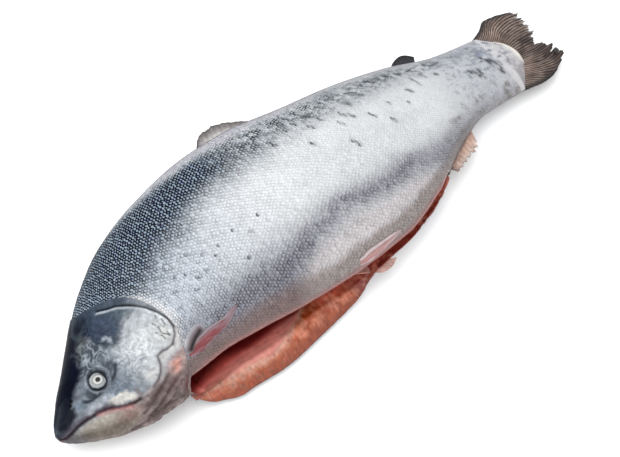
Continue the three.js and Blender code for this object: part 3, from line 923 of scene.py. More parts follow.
@dataclass
class SkinZones:
    """Tones of the body skin, zone by zone, by station and side angle."""

    form: FishForm
    flank: Tone = Tone((246, 247, 248), (216, 218, 220))
    fore_flank: Tone = Tone((238, 243, 248), (158, 165, 174))
    # Painted reflection: the pale rim along the back's edge stands for the bright surroundings mirrored at
    # a grazing angle.
    rim: Tone = Tone((232, 231, 235), (176, 176, 184))
    fore_rim: Tone = Tone((104, 108, 116), (24, 28, 36))
    slate: Tone = Tone((214, 240, 255), (12, 26, 46))
    # Painted reflection: the grey band along the lower flank stands for dark surroundings mirrored in the
    # silver skin.
    dark_reflection_band: Tone = Tone((190, 190, 197), (106, 106, 116))
    low_flank: Tone = Tone((244, 240, 239), (196, 190, 192))
    belly: Tone = Tone((196, 188, 185), (150, 141, 138))
    fore_belly: Tone = Tone((156, 138, 134), (126, 108, 105))
    cut_margin: Tone = Tone((176, 142, 140), (156, 118, 116))
    cut_lip: Tone = Tone((186, 142, 138), (178, 132, 128))
    tail_flank: Tone = Tone((240, 240, 242), (160, 163, 170))
    tail_blue: Tone = Tone((154, 163, 178), (104, 114, 132))
    tail_brown: Tone = Tone((200, 192, 188), (104, 97, 96))
    shoulder: Tone = Tone((218, 217, 216), (196, 193, 191))
    dark_mark: Tone = Tone((42, 56, 78), (13, 20, 35))
    small_spot: Tone = Tone((90, 98, 110), (60, 68, 80))
    # Angle where the painted reflection along the back's edge gives way to slate.
    sheen_rim_end: SizeCurve = SizeCurve(
        (0.15, 0.2, 0.25, 0.3, 0.4, 0.5, 0.6, 0.7, 0.85, 1), (4, 6, 14, 23, 33, 39, 40, 34, 41, 38)
    )
    ridge_end: SizeCurve = SizeCurve((0.15, 0.3, 0.5, 0.6, 0.8, 1), (5, 10, 13, 17, 19, 16))
    slate_end: SizeCurve = SizeCurve(
        (0.15, 0.2, 0.22, 0.3, 0.4, 0.5, 0.6, 0.7, 0.8, 1), (74, 80, 84, 81, 72, 73, 70, 69, 68, 66)
    )
    slate_depth: SizeCurve = SizeCurve(
        (0.15, 0.3, 0.42, 0.5, 0.56, 0.7, 0.8, 0.9, 1), (1, 1, 1, 0.8, 0.6, 0.56, 0.58, 0.5, 0.45)
    )
    # Middle, half width and strength of the painted reflection band.
    band_middle: SizeCurve = SizeCurve(
        (0.2, 0.3, 0.4, 0.5, 0.6, 0.7, 0.8, 0.9, 1), (128, 134, 133, 122, 121, 128, 146, 149, 150)
    )
    band_half: SizeCurve = SizeCurve(
        (0.2, 0.3, 0.4, 0.5, 0.6, 0.7, 0.8, 0.9, 1), (15, 16, 17, 10.5, 9.5, 11, 17, 19, 18)
    )
    band_depth: SizeCurve = SizeCurve(
        (0.2, 0.26, 0.34, 0.44, 0.52, 0.7, 0.8, 0.9, 1), (0.35, 0.7, 1, 1, 0.8, 0.82, 0.8, 0.6, 0.7)
    )
    bare_shoulder: Stroke = (
        (0.205, 70), (0.218, 77), (0.229, 83), (0.236, 92), (0.238, 104), (0.234, 113), (0.23, 122),
        (0.222, 132), (0.2, 132), (0.2, 100),
    )
    marks: tuple[Stroke, ...] = (
        ((0.51, 55), (0.516, 62)), ((0.52, 57), (0.524, 62)), (
            (0.561, 70), (0.566, 76)
        ), ((0.596, 56), (0.6, 61)),
        ((0.625, 56), (0.63, 61)), ((0.648, 91), (0.654, 96)), ((0.656, 75), (0.661, 80)),
        ((0.671, 68), (0.676, 74)), ((0.682, 72), (0.686, 77)), ((0.686, 45), (0.692, 51)),
        ((0.7, 49), (0.705, 54)), (
            (0.725, 56), (0.731, 62)
        ), ((0.74, 45), (0.747, 51)), ((0.75, 75), (0.756, 80)),
        (
            (0.766, 50), (0.772, 56)
        ), ((0.78, 83), (0.786, 88)), ((0.8, 49), (0.806, 55)), ((0.803, 75), (0.808, 80)),
        (
            (0.818, 53), (0.826, 64), (0.832, 77)
        ), ((0.842, 55), (0.848, 62), (0.852, 70)), ((0.868, 66), (0.873, 72)),
        (
            (0.635, 63), (0.639, 68)
        ), ((0.612, 66), (0.617, 70)), ((0.59, 78), (0.595, 83)), ((0.577, 60), (0.582, 65)),
        ((0.775, 44), (0.79, 49)), ((0.79, 46), (0.8, 50)), (
            (0.812, 48), (0.824, 54)
        ), ((0.756, 44), (0.764, 48)),
        ((0.722, 46), (0.731, 50)), ((0.68, 50), (0.688, 54)), ((0.55, 56), (0.556, 61)), ((0.54, 63),
        (0.545, 68)), ((0.71, 80), (0.716, 85)), ((0.735, 92), (0.74, 96)), ((0.695, 60), (0.7, 66)),
    )
    tail_marks: tuple[Stroke, ...] = (
        ((0.968, 76), (0.974, 86), (0.976, 97)), (
            (0.978, 84), (0.984, 94), (0.986, 106)
        ), ((0.98, 104), (0.984, 114)),
        ((0.926, 84), (0.93, 92)), ((0.934, 88), (0.938, 98)), ((0.943, 90), (0.946, 99)), (
            (0.938, 101), (0.943, 107)
        ),
        ((1.0, 96), (1.004, 112)), ((0.998, 118), (1.0, 128)), ((0.957, 70), (0.963, 80)),
    )
    spots: tuple[tuple[float, float], ...] = (
        (0.332, 90), (0.357, 93), (0.291, 93), (0.263, 97), (0.302, 101), (0.319, 101), (0.289, 107),
        (0.381, 113),
        (0.345, 98), (0.278, 88), (0.41, 101), (0.436, 95), (0.252, 108), (0.315, 85), (0.39, 92),
    )

    def tones(self, s: Array, side: Array, points: Array) -> tuple[Array, Array]:
        """Work out the crest colours, painted lighter as if lit, and the pocket colours, painted darker as
        shade under the scale ahead.

        Args:
            s: Stations.
            side: Angle from the back, 0 to 180.
            points: Positions in millimetres, for the mottling.

        Returns:
            Linear crest colours and linear pocket colours, last axis 3.
        """
        crest = Painter(s.shape, self.flank.crest)
        pocket = Painter(s.shape, self.flank.pocket)

        def lay(mask: Array, tone: Tone, strength: float = 1.0) -> None:
            """Lay a tone on crests and pockets alike."""
            crest.lay(mask, tone.crest, strength)
            pocket.lay(mask, tone.pocket, strength)

        near = np.clip(s, 0.0, 1.0)
        wander = layered_cloud(points, 30.0, 5)
        d = np.clip(side + 3.0 * wander, 0, 180)
        fine = layered_cloud(points, 6.0, 15)
        chart = FlankMap(self.form, near, np.clip(side, 0, 180))
        lay(1 - ramp(near, 0.26, 0.5), self.fore_flank)
        sheen_rim_end = self.sheen_rim_end.at(near)
        # Painted reflection of the bright surroundings along the back's edge.
        lay(1 - ramp(d, sheen_rim_end - 9, sheen_rim_end + 5), self.rim)
        lay((1 - ramp(d, sheen_rim_end - 4, sheen_rim_end + 12)) * (1 - ramp(near, 0.24, 0.3)), self.fore_rim)
        slate = ramp(d, sheen_rim_end - 7, sheen_rim_end + 7)
        slate = slate * (1 - ramp(d, self.slate_end.at(near) - 17, self.slate_end.at(near) + 7))
        depth = self.slate_depth.at(near) * (1 + 0.22 * fine * ramp(near, 0.5, 0.6))
        lay(np.clip(slate, 0, 1) ** 0.8 * depth, self.slate)
        middle = self.band_middle.at(near)
        behind = ramp(near, 0.38, 0.46)
        lay(ramp(d, middle + 4, middle + 17) * behind * (1 - ramp(near, 0.72, 0.8)), self.low_flank)
        lay(ramp(d, 145, 154) * behind, self.belly)
        lay(ramp(d, 134, 148) * (1 - ramp(near, 0.4, 0.47)), self.fore_belly)
        # Painted reflection band of dark surroundings along the lower flank.
        band = np.exp(-(np.abs((d - middle) / self.band_half.at(near)) ** 2.4))
        lay(band * self.band_depth.at(near) * (1 + 0.15 * fine), self.dark_reflection_band)
        lay(ramp(near, 0.82, 0.92), self.tail_flank, 0.6)
        ridge = self.ridge_end.at(near)
        lay(1 - ramp(side, ridge - 5, ridge + 2), self.slate, 0.9)
        lay(bell(near, 0.965, 0.03) * bell(side, 62, 22) * ramp(fine, -0.6, 0.5), self.tail_blue, 0.85)
        blotch = ramp(near, 0.8, 0.86) * ramp(side, 112, 134) * ramp(fine + 0.5 * wander, -0.35, 0.55)
        lay(blotch, self.tail_brown, 0.8)
        opened = ramp(near, 0.2, 0.24) * (1 - ramp(near, 0.72, 0.765))
        gap = self.form.upper_edge.at(near) - side
        lay((1 - ramp(gap, 2.5, 10.0)) * opened, self.cut_margin, 0.85)
        lay(bell(gap, 0.2, 1.5) * opened, self.cut_lip, 0.8)
        lay(self.bare(s, side), self.shoulder, 0.6)
        fleck = layered_cloud(points, 3.0, 27, 2)
        speckled = bell(side, 51, 13) * ramp(near, 0.42, 0.54) * (1 - ramp(near, 0.86, 0.92))
        lay(speckled * ramp(-fleck, 0.1, 0.6), self.flank, 0.5)
        lay(speckled * ramp(fleck, 0.15, 0.55), self.dark_mark, 0.75)
        lay(ramp(near, 0.84, 0.9) * (1 - ramp(side, 112, 128)) * ramp(fleck, 0.2, 0.8), self.tail_blue, 0.6)
        for i, mark in enumerate(self.marks):
            lay(chart.line(mark, 1.15 + 0.3 * (i % 3)) * ramp(fine, -0.7, 0.3), self.dark_mark, 0.9)
        for mark in self.tail_marks:
            lay(chart.line(mark, 2.0) * ramp(fine, -0.8, 0.1), self.dark_mark, 0.95)
        for spot in self.spots:
            lay(1 - ramp(chart.spot(*spot), 0.8, 2.4), self.small_spot, 0.85)
        worn = 1 + 0.045 * layered_cloud(points, 12.0, 21)[..., None]
        return crest.colour * worn, pocket.colour * worn

    def bare(self, s: Array, side: Array) -> Array:
        """Mask of the scale-free patch behind the gill cover.

        Args:
            s: Station.
            side: Degrees from the back.

        Returns:
            1 on the patch and 0 off it.
        """
        points = self.form.flank(s, side)
        torn = np.clip(s, 0, 1) + 0.006 * layered_cloud(points, 9.0, 33)
        return FlankMap(self.form, torn, side).plate(self.bare_shoulder, 9.0)

    def shine(self, side: Array) -> Array:
        """Return how silvery the skin is, 0 to 1."""
        return ramp(side, 45, 80) * (1 - 0.5 * ramp(side, 130, 165))


@dataclass
class TrunkSkin:
    """The skin from behind the gill covers to the root of the tail fin."""

    form: FishForm
    zones: SkinZones
    rows: int = 200
    end_rows: int = 14
    columns: int = 204
    thickness: float = 0.9
    overlap: float = 0.012
    pocket: Stroke = ((0.221, 138), (0.228, 135.5), (0.238, 133.5), (0.249, 132.5))
    pocket_rise: float = 5.0
    # Painted shadow in the hole at the breast fin's base, with softer painted shade round it.
    pocket_hole_shadow: Colour = (30, 16, 20)
    pocket_rim_shade: Colour = (120, 96, 100)
    root_skin: Colour = (200, 198, 200)
    root_mark: Colour = (92, 98, 112)
    root_low: Colour = (152, 147, 151)
    root_rim: Colour = (236, 228, 216)

    def angles(self, s: Array) -> tuple[Array, Array]:
        """Angles where the skin begins and ends, on either side of the cut.

        Args:
            s: Station.

        Returns:
            The upper edge's and the lower edge's angle in degrees.
        """
        cut = ramp(s, 0.18, 0.2) * (1 - ramp(s, 0.758, 0.775))
        upper = blend_values(180.0, self.form.upper_edge.at(s), cut)
        lower = blend_values(-180.0, self.form.flap_edge_angle - 360, cut)
        return upper, lower

    def build(self) -> bpy.types.Object:
        """Build the skin as a thin closed shell.

        Returns:
            The finished piece.
        """
        u = np.linspace(0, 1, self.rows)[:, None]
        v = np.linspace(0, 1, self.columns)[None, :]
        first = self.form.gill_edge.at(np.abs(180 - 360 * v)) - self.overlap
        s = first + (1.0 - first) * u
        upper, lower = self.angles(s)
        degrees = blend_values(upper, lower, v + 0 * u)
        points = self.form.skin(s, degrees)
        part = np.linspace(0, 1, self.end_rows + 1)[1:, None]
        turn = np.broadcast_to(degrees[-1:], (self.end_rows, self.columns))
        points = np.concatenate([points, self.form.tail_root(part, turn)])
        s = np.concatenate([s, 1.0 + self.form.root_bow * part * np.sin(np.radians(turn)) ** 2])
        degrees = np.concatenate([degrees, turn])
        grown = np.concatenate([np.zeros((self.rows, self.columns)), part + 0 * turn])
        side = np.clip(np.abs(degrees), 0, 180)
        pocket = FlankMap(self.form, np.clip(s, 0, 1), side).line(self.pocket, 3.0) * (degrees > 0)
        inward = -grid_normals(points)
        points = points - inward * (self.pocket_rise * pocket)[..., None]
        points[..., 2] = np.maximum(points[..., 2], 0.0)
        faces = grid_faces(self.rows + self.end_rows, self.columns, flip=True)
        piece = build_mesh("trunk_skin", points.reshape(-1, 3), faces)
        store(piece, "tint", "FLOAT_COLOR", self.tint(s, degrees, grown, points).reshape(-1, 3))
        store(piece, "shine", "FLOAT", self.zones.shine(side).ravel())
        shell = piece.modifiers.new("shell", "SOLIDIFY")
        shell.thickness = self.thickness * MM
        shell.offset = -1.0
        return piece

    def tint(self, s: Array, degrees: Array, grown: Array, points: Array) -> Array:
        """Colours of the bare skin.

        Args:
            s: Stations.
            degrees: Angles round the section.
            grown: 0 on the body, rising to 1 at the thin end over the tail fin.
            points: Positions in millimetres.

        Returns:
            Linear colours, last axis 3.
        """
        side = np.clip(np.abs(degrees), 0, 180)
        crest, pocket = self.zones.tones(s, side, points)
        # Bare skin: a mix of the painted crest highlight and the painted pocket shade.
        colour = blend_values(crest, pocket, 0.6)
        colour = blend_values(colour, crest, self.zones.bare(s, side)[..., None])
        fine = layered_cloud(points, 4.0, 25)
        colour = blend_values(colour, paint(*self.root_skin), (0.85 * ramp(s, 0.975, 1.0))[..., None])
        patchy = ramp(s, 0.97, 0.99) * (1 - ramp(side, 95, 130)) * ramp(fine, 0.0, 0.6)
        colour = blend_values(colour, paint(*self.root_mark), (0.7 * patchy)[..., None])
        low = ramp(grown, 0.0, 0.3) * ramp(side, 92, 116) * ramp(fine, -1.0, 0.2)
        colour = blend_values(colour, paint(*self.root_low), (0.85 * low)[..., None])
        thin = 0.9 * ramp(grown, 0.78, 0.95) * (1 - low)
        colour = blend_values(colour, paint(*self.root_rim), thin[..., None])
        chart = FlankMap(self.form, np.clip(s, 0, 1), side)
        # Painted shadow in the hole at the breast fin's base, softer painted shade round it.
        for width, shade in ((4.6, self.pocket_rim_shade), (2.5, self.pocket_hole_shadow)):
            hole = chart.line(self.pocket, width) * (degrees > 0)
            colour = blend_values(colour, paint(*shade), np.clip(hole, 0, 1)[..., None])
        return colour


@dataclass
class ScaleField:
    """Overlapping scales over one flank, placed by Geometry Nodes."""

    form: FishForm
    zones: SkinZones
    left: bool = True
    columns: int = 61
    pitch: float = 0.7
    first: float = 0.14
    last: float = 0.992
    aspect: float = 1.3
    crown: float = 0.14
    tilt: float = 0.12
    jitter: float = 0.12
    stray: float = 0.13
    worn: float = 0.85
    peak: float = 0.4
    breadth: float = 0.6
    raised: float = 0.02
    floor_gap: float = 0.16
    gill_gap: float = 0.002
    cut_gap: float = 1.0
    cut_ends: tuple[float, float] = (0.185, 0.77)
    seed: int = 7

    def lattice(self) -> tuple[Array, Array, Array]:
        """Stations, angles and widths of the scales.

        Returns:
            Station, angle and width in millimetres of every scale.
        """
        fine = np.linspace(0, 180, 721)
        middle = self.form.place(np.full_like(fine, 0.45), *self.form.oval(np.full_like(fine, 0.45), fine))
        arc = np.concatenate([[0], np.cumsum(np.linalg.norm(np.diff(middle, axis=0), axis=1))])
        slots = (np.arange(self.columns) + 0.25) / self.columns * arc[-1]
        half = 0.5 / self.columns * arc[-1]
        s_list, d_list, w_list = [], [], []
        s = self.first
        row = 0
        while s < self.last:
            d = np.interp(slots + (half if row % 2 else 0.0), arc, fine)
            section = self.form.place(np.full_like(d, s), *self.form.oval(np.full_like(d, s), d))
            w = np.linalg.norm(np.gradient(section, axis=0), axis=1)
            s_list.append(np.full_like(d, s))
            d_list.append(d)
            w_list.append(w)
            s += max(float(np.median(w)), 1.7) * self.pitch / self.form.length
            row += 1
        return np.concatenate(s_list), np.concatenate(d_list), np.concatenate(w_list)

    def tree(self) -> bpy.types.NodeTree:
        """Geometry Nodes tree that sets one crowned scale on every point.

        Returns:
            The tree.
        """
        tree = bpy.data.node_groups.new("lay_scales", "GeometryNodeTree")
        face = tree.interface
        face.new_socket("Geometry", in_out="INPUT", socket_type="NodeSocketGeometry")
        kinds = dict.fromkeys(("Aspect", "Crown", "Tilt", "Jitter", "Peak"), "Float")
        kinds |= {"Seed": "Int", "Finish": "Material"}
        for name, kind in kinds.items():
            face.new_socket(name, in_out="INPUT", socket_type="NodeSocket" + kind)
        face.new_socket("Geometry", in_out="OUTPUT", socket_type="NodeSocketGeometry")
        bench = NodeBench(tree)
        given = bench.add("NodeGroupInput").outputs
        disc = bench.add("GeometryNodeMeshCircle", {"Vertices": 8, "Radius": 1.0}, fill_type="TRIANGLE_FAN")
        at = bench.add("GeometryNodeInputPosition").outputs[0]
        parts = bench.add("ShaderNodeSeparateXYZ", {0: at}).outputs
        reach = bench.add("ShaderNodeVectorMath", {0: at}, operation="LENGTH").outputs["Value"]
        inner = bench.math("SUBTRACT", 1.0, reach)
        crown = bench.math("MULTIPLY", inner, given["Crown"])
        moved_back = bench.math("MULTIPLY_ADD", inner, given["Peak"], parts[0])
        height = bench.math("ADD", crown, bench.math("MULTIPLY", moved_back, given["Tilt"]))
        long = bench.math("MULTIPLY", moved_back, given["Aspect"])
        shaped = bench.add("ShaderNodeCombineXYZ", {0: long, 1: parts[1], 2: height}).outputs[0]
        facing_up = bench.add("GeometryNodeFlipFaces", {0: disc.outputs[0]})
        moved = bench.add("GeometryNodeSetPosition", {"Geometry": facing_up.outputs[0], "Position": shaped})
        smooth = bench.add("GeometryNodeSetShadeSmooth", {0: moved.outputs[0]})
        # The lit attribute runs from a scale's front to its rear and blends its painted pocket shade into
        # its painted crest highlight.
        lit = bench.add(
            "GeometryNodeStoreNamedAttribute",
            {"Geometry": smooth.outputs[0], "Name": "lit"},
            data_type="FLOAT",
            domain="POINT",
        )
        at_now = bench.add("GeometryNodeInputPosition").outputs[0]
        now = bench.add("ShaderNodeSeparateXYZ", {0: at_now}).outputs
        forward = bench.math("MULTIPLY_ADD", now[0], 0.5, 0.5)
        tree.links.new(forward, bench.live(lit.inputs, "Value"))
        turn = bench.add(
            "FunctionNodeAxesToRotation",
            {0: bench.stored("facing", "FLOAT_VECTOR"), 1: bench.stored("tailward", "FLOAT_VECTOR")},
            primary_axis="Z",
            secondary_axis="X",
        )
        chance = bench.add("FunctionNodeRandomValue", {"Seed": given["Seed"]}, data_type="FLOAT")
        bench.live(chance.inputs, "Min").default_value = -1.0
        bench.live(chance.inputs, "Max").default_value = 1.0
        uneven = bench.math("MULTIPLY_ADD", bench.live(chance.outputs, "Value"), given["Jitter"], 1.0)
        size = bench.math("MULTIPLY", bench.stored("breadth"), uneven)
        laid = bench.add(
            "GeometryNodeInstanceOnPoints",
            {
                "Points": given["Geometry"], "Instance": lit.outputs[0], "Rotation": turn.outputs[0],
                "Scale": size
            },
        )
        return bench.dress(laid.outputs[0], given["Finish"])

    def build(self, material: bpy.types.Material) -> bpy.types.Object:
        """Build the scales of this flank.

        Args:
            material: The scales' material.

        Returns:
            The finished piece.
        """
        form = self.form
        s, side, width = self.lattice()
        keep = s > form.gill_edge.at(side) + self.gill_gap
        s, side, width = s[keep], side[keep], width[keep]
        degrees = side if self.left else -side
        opened = (s > self.cut_ends[0]) & (s < self.cut_ends[1])
        if self.left:
            keep = ~opened | (degrees < form.upper_edge.at(s) - self.cut_gap)
        else:
            keep = ~opened | (degrees > form.flap_edge_angle - 360 + self.cut_gap)
        s, degrees, width, side = s[keep], degrees[keep], width[keep], side[keep]
        rng = np.random.default_rng(self.seed)
        s = s + self.stray * width / form.length * rng.uniform(-1, 1, len(s))
        degrees = degrees + self.stray * rng.uniform(-1, 1, len(s)) * 2.2
        points = form.skin(s, degrees)
        ds = form.skin(s + 0.002, degrees) - form.skin(s - 0.002, degrees)
        dd = form.skin(s, degrees + 0.5) - form.skin(s, degrees - 0.5)
        inward, ds, dd = unit(np.cross(ds, dd)), unit(ds), unit(dd)
        ds = ds + dd * self.stray * rng.uniform(-1.6, 1.6, len(s))[:, None]
        points = points - inward * (self.raised * width[:, None])
        points[:, 2] = np.maximum(points[:, 2], np.where(inward[:, 2] < -0.2, self.floor_gap * width, 0.02))
        piece = build_mesh("scales_left" if self.left else "scales_right", points, [])
        # Crest colours carry painted highlight and pocket colours carry painted shade, over the skin's own
        # tone.
        crest, pocket = self.zones.tones(s, side, points)
        depth = 1 - pocket.mean(1) / crest.mean(1)
        clumps = layered_cloud(points, 7.0, 35, 2)
        tone = np.exp((0.02 + 0.42 * depth**2) * rng.standard_normal(len(s)) + 0.35 * depth**2 * clumps)
        worn = ramp(layered_cloud(points * np.array([0.7, 1.0, 1.0]), 4.2, 37, 2), 0.1, 0.35)
        worn = worn * bell(side, 48 - 4 * clumps, 10) * ramp(s, 0.42, 0.54)
        tone = tone * (1 - self.worn * worn)
        store(piece, "tint", "FLOAT_COLOR", np.clip(crest * tone[:, None], 0, 0.95))
        store(piece, "under", "FLOAT_COLOR", np.clip(pocket * tone[:, None], 0, 0.95))
        store(piece, "shine", "FLOAT", self.zones.shine(side))
        store(piece, "facing", "FLOAT_VECTOR", inward)
        store(piece, "tailward", "FLOAT_VECTOR", ds)
        store(piece, "breadth", "FLOAT", width * MM * self.breadth)
        inputs = {
            "Aspect": self.aspect, "Crown": self.crown, "Tilt": self.tilt, "Jitter": self.jitter,
            "Peak": self.peak, "Seed": self.seed, "Finish": material,
        }
        return run_tree(piece, self.tree(), inputs)


@dataclass
class Head:
    """The head with its gill covers, mouth and plates."""

    form: FishForm
    rows: int = 205
    near_step: float = 0.62
    far_step: float = 2.4
    base_lift: float = 0.8
    gill_rim: Stroke = (
        (0.168, 59), (0.178, 66), (0.191, 72), (0.2055, 81), (0.2155, 88), (0.223, 98), (0.2262, 106),
        (0.2245, 114), (0.218, 119), (0.206, 123),
    )
    cheek_edge: Stroke = (
        (0.206, 123), (0.194, 122), (0.186, 120), (0.177, 120), (0.1725, 126), (0.165, 131),
        (0.156, 134), (0.143, 136),
    )
    maxilla: Stroke = (
        (0.07, 118), (0.076, 115.6), (0.086, 115.4), (0.096, 116.5), (0.108, 121), (0.118, 126),
        (0.1165, 130.5),
        (0.11, 132), (0.101, 130), (0.09, 125), (0.078, 121),
    )
    mouth: Stroke = (
        (0.002, 148), (0.008, 138), (0.016, 129), (0.024, 124), (0.0315, 121), (0.046, 119.6),
        (0.063, 120.4),
        (0.074, 123), (0.085, 128.6), (0.096, 133), (0.1076, 136), (0.117, 136.5),
    )
    jaw: Stroke = (
        (0.018, 138), (0.028, 129), (0.045, 124), (0.066, 125), (0.082, 131), (0.097, 138), (0.103, 145),
        (0.098, 155), (0.078, 166), (0.054, 176), (0.03, 172), (0.012, 161),
    )
    folds: tuple[Stroke, ...] = (
        ((0.108, 154), (0.125, 149), (0.145, 144), (0.165, 139), (0.18, 138), (0.196, 140)),
        ((0.112, 163), (0.135, 157), (0.16, 150), (0.184, 147)),
        ((0.12, 138), (0.134, 140), (0.15, 138)),
        ((0.08, 178), (0.09, 173), (0.11, 167), (0.132, 165), (0.154, 168), (0.17, 173)),
        ((0.13, 173), (0.148, 163), (0.168, 156), (0.182, 153)),
        ((0.118, 146), (0.135, 143.5), (0.152, 141)),
    )
    gill_patch: Stroke = (
        (0.18, 139), (0.185, 134), (0.194, 131), (0.2, 132), (0.2, 136), (0.194, 140), (0.184, 142),
    )
    lid_line: Stroke = (
        (0.06, 98), (0.063, 101.5), (0.07, 104), (0.08, 105.6), (0.09, 106.2), (0.1, 106), (0.115, 103.6),
        (0.123, 101), (0.128, 98),
    )
    front_socket: Stroke = ((0.064, 91), (0.074, 90), (0.08, 94), (0.08, 101), (0.074, 104), (0.066, 100))
    rear_socket: Stroke = ((0.112, 88), (0.12, 87), (0.128, 92), (0.128, 98), (0.12, 102), (0.11, 103))
    fore_plate: Stroke = (
        (0.046, 93), (0.052, 91), (0.058, 93), (0.062, 99), (0.06, 104), (0.052, 104), (0.047, 99)
    )
    brow_plate: Stroke = (
        (0.056, 84), (0.06, 79), (0.07, 76), (0.081, 77), (0.085, 82), (0.08, 87), (0.07, 88), (0.06, 90),
    )
    temple: Stroke = (
        (0.083, 68), (0.092, 62), (0.1, 59), (0.112, 58.5), (0.125, 61), (0.131, 70), (0.135, 82),
        (0.128, 86),
        (0.118, 85), (0.105, 82), (0.092, 79), (0.085, 75),
    )
    slate_plate: Stroke = (
        (0.133, 60), (0.148, 56), (0.166, 61), (0.178, 68), (0.18, 75), (0.165, 80), (0.15, 82),
        (0.139, 78),
    )
    nostrils: Stroke = ((0.05, 80), (0.044, 84))
    cap_edge: SizeCurve = SizeCurve(
        (
            0, 0.015, 0.03, 0.043, 0.047, 0.056, 0.075, 0.083, 0.1, 0.12, 0.13, 0.137, 0.15, 0.167,
            0.18, 0.2, 0.225
        ),
        (146, 128, 114, 99, 91, 84, 80, 73, 64, 60, 63, 79, 87, 83, 77, 74, 72),
    )
    cracks: tuple[Stroke, ...] = (
        ((0.204, 99), (0.207, 105), (0.205, 111)),
        ((0.207, 105), (0.212, 107), (0.2155, 112)),
        ((0.199, 107), (0.203, 113), (0.202, 119)),
        ((0.205, 111), (0.21, 115), (0.213, 120)),
        ((0.216, 98), (0.212, 101), (0.2125, 106)),
        ((0.212, 113), (0.2105, 118), (0.206, 121)),
        ((0.219, 103), (0.2165, 108), (0.219, 113)),
    )
    wrinkles: tuple[Stroke, ...] = (
        ((0.12, 108), (0.133, 110), (0.147, 116), (0.158, 124)),
        ((0.132, 104), (0.148, 108), (0.16, 113)),
        ((0.1, 111), (0.116, 112), (0.13, 117), (0.14, 124)),
        ((0.139, 76), (0.145, 80), (0.144, 85), (0.137, 87)),
        ((0.09, 110), (0.105, 109.5), (0.118, 107)),
    )
    eye_station: float = 0.0955
    eye_angle: float = 94.7
    lid_radius: float = 8.9

    def lift(self, chart: FlankMap) -> Array:
        """Small forms of the head.

        Args:
            chart: The places to measure.

        Returns:
            Lift over the body's oval, in millimetres.
        """
        s, side = chart.s, chart.side
        near = s / self.form.gill_edge.at(side)
        lift = self.base_lift + 0.7 * ramp(near, 0.72, 0.98)
        border = self.gill_rim + self.cheek_edge[1:]
        plate = border + ((0.12, 120), (0.11, 100), (0.12, 70), (0.15, 58))
        gap = chart.distance(border)
        inside = inside_outline(s, side, plate)
        lift += np.where(inside, 1.2 * np.exp(-gap / 26.0) * ramp(gap, 0.0, 2.2), 0.0)
        lift -= 0.8 * np.exp(-((gap / 1.2) ** 2)) * np.where(inside, 0.3, 1.0)
        lift += 1.3 * chart.plate(self.maxilla, 4.0)
        lift += 0.9 * chart.plate(self.jaw, 7.0)
        lift -= 2.4 * chart.line(self.mouth, 1.4)
        lift += 0.8 * chart.line(((0.02, 119), (0.04, 114.5), (0.062, 116), (0.08, 120)), 3.0)
        for i, fold in enumerate(self.folds):
            depth = (1.3, 1.1, 0.8, 1.0, 0.9, 0.6)[i]
            lift -= depth * chart.line(fold, 2.0)
            lift += 0.5 * bell(chart.distance(fold), 4.4, 2.4)
        eye = chart.spot(self.eye_station, self.eye_angle)
        lift -= 2.4 * (1 - ramp(eye, 6.4, 11.0))
        lift += 0.8 * bell(eye, 11.2, 1.6)
        lift -= 0.8 * chart.line(self.lid_line, 1.5)
        lift -= 0.7 * chart.plate(self.front_socket, 3.0) + 0.6 * chart.plate(self.rear_socket, 3.0)
        lift += 0.5 * chart.plate(self.fore_plate, 2.5) + 0.4 * chart.plate(self.brow_plate, 4.0)
        for place in self.nostrils:
            lift -= 1.2 * (1 - ramp(chart.spot(*place), 0.6, 2.0))
        for crack in self.cracks:
            lift -= 0.35 * chart.line(crack, 0.7)
        for wrinkle in self.wrinkles:
            lift -= 0.4 * chart.line(wrinkle, 1.5)
        lift += 1.0 * bell(s, 0.135, 0.02) * bell(side, 112, 20)
        lift -= (
            (2.6 * (1 - ramp(s, 0.0, 0.05)) + 1.6 * (1 - ramp(s, 0.06, 0.16))) * (1 - ramp(side, 62, 112))
        )
        lift += 0.2 * marbled(chart.points, 9.0, 31)
        lift += (
            0.5 * ramp(side, 134, 150) * layered_cloud(chart.points * np.array([0.6, 1.5, 1.5]), 7.0, 41)
        )
        return lift

    def tint(self, chart: FlankMap) -> Array:
        """Colours of the head.

        Args:
            chart: The places to colour.

        Returns:
            Linear colours, last axis 3.
        """
        s, side, at = chart.s, chart.side, chart.points
        curls = marbled(at, 15.0, 51, 1.3)
        swirl = np.sin(15.0 * marbled(at, 11.0, 59, 1.4))
        small = layered_cloud(at, 4.5, 61, 3)
        torn = FlankMap(
            self.form,
            np.maximum(s + 0.004 * layered_cloud(at, 6.0, 43), 0.001),
            np.clip(side + 3.0 * layered_cloud(at, 6.0, 47), 0, 180),
        )
        skin = Painter(s.shape, (126, 134, 142))
        lay = skin.lay
        lay(bell(side, 107, 26) * ramp(s, 0.115, 0.165), (182, 186, 190))
        lay(bell(side, 103, 15) * bell(s, 0.176, 0.022), (198, 201, 203), 0.85)
        lay(bell(side, 106, 10) * bell(s, 0.107, 0.014), (104, 111, 122), 0.75)
        lay(bell(side, 117, 10) * bell(s, 0.117, 0.025) * ramp(curls, -0.3, 0.3), (124, 136, 150), 0.7)
        lay(bell(side, 127, 7) * bell(s, 0.155, 0.014), (208, 206, 204), 0.8)
        lay(bell(side, 112, 13) * bell(s, 0.208, 0.015), (204, 204, 203), 0.85)
        self.throat(chart, skin, curls, small)
        self.crown(torn, skin, curls, swirl)
        self.around_eye(torn, chart, skin, curls)
        gape = ((0.006, 134), (0.02, 120), (0.035, 115), (0.055, 116), (0.07, 119), (0.082, 124))
        lay(chart.line(gape, 3.0), (96, 90, 100), 0.85)
        lay(torn.line(((0.05, 113), (0.07, 112), (0.09, 113)), 2.4), (172, 176, 184), 0.6)
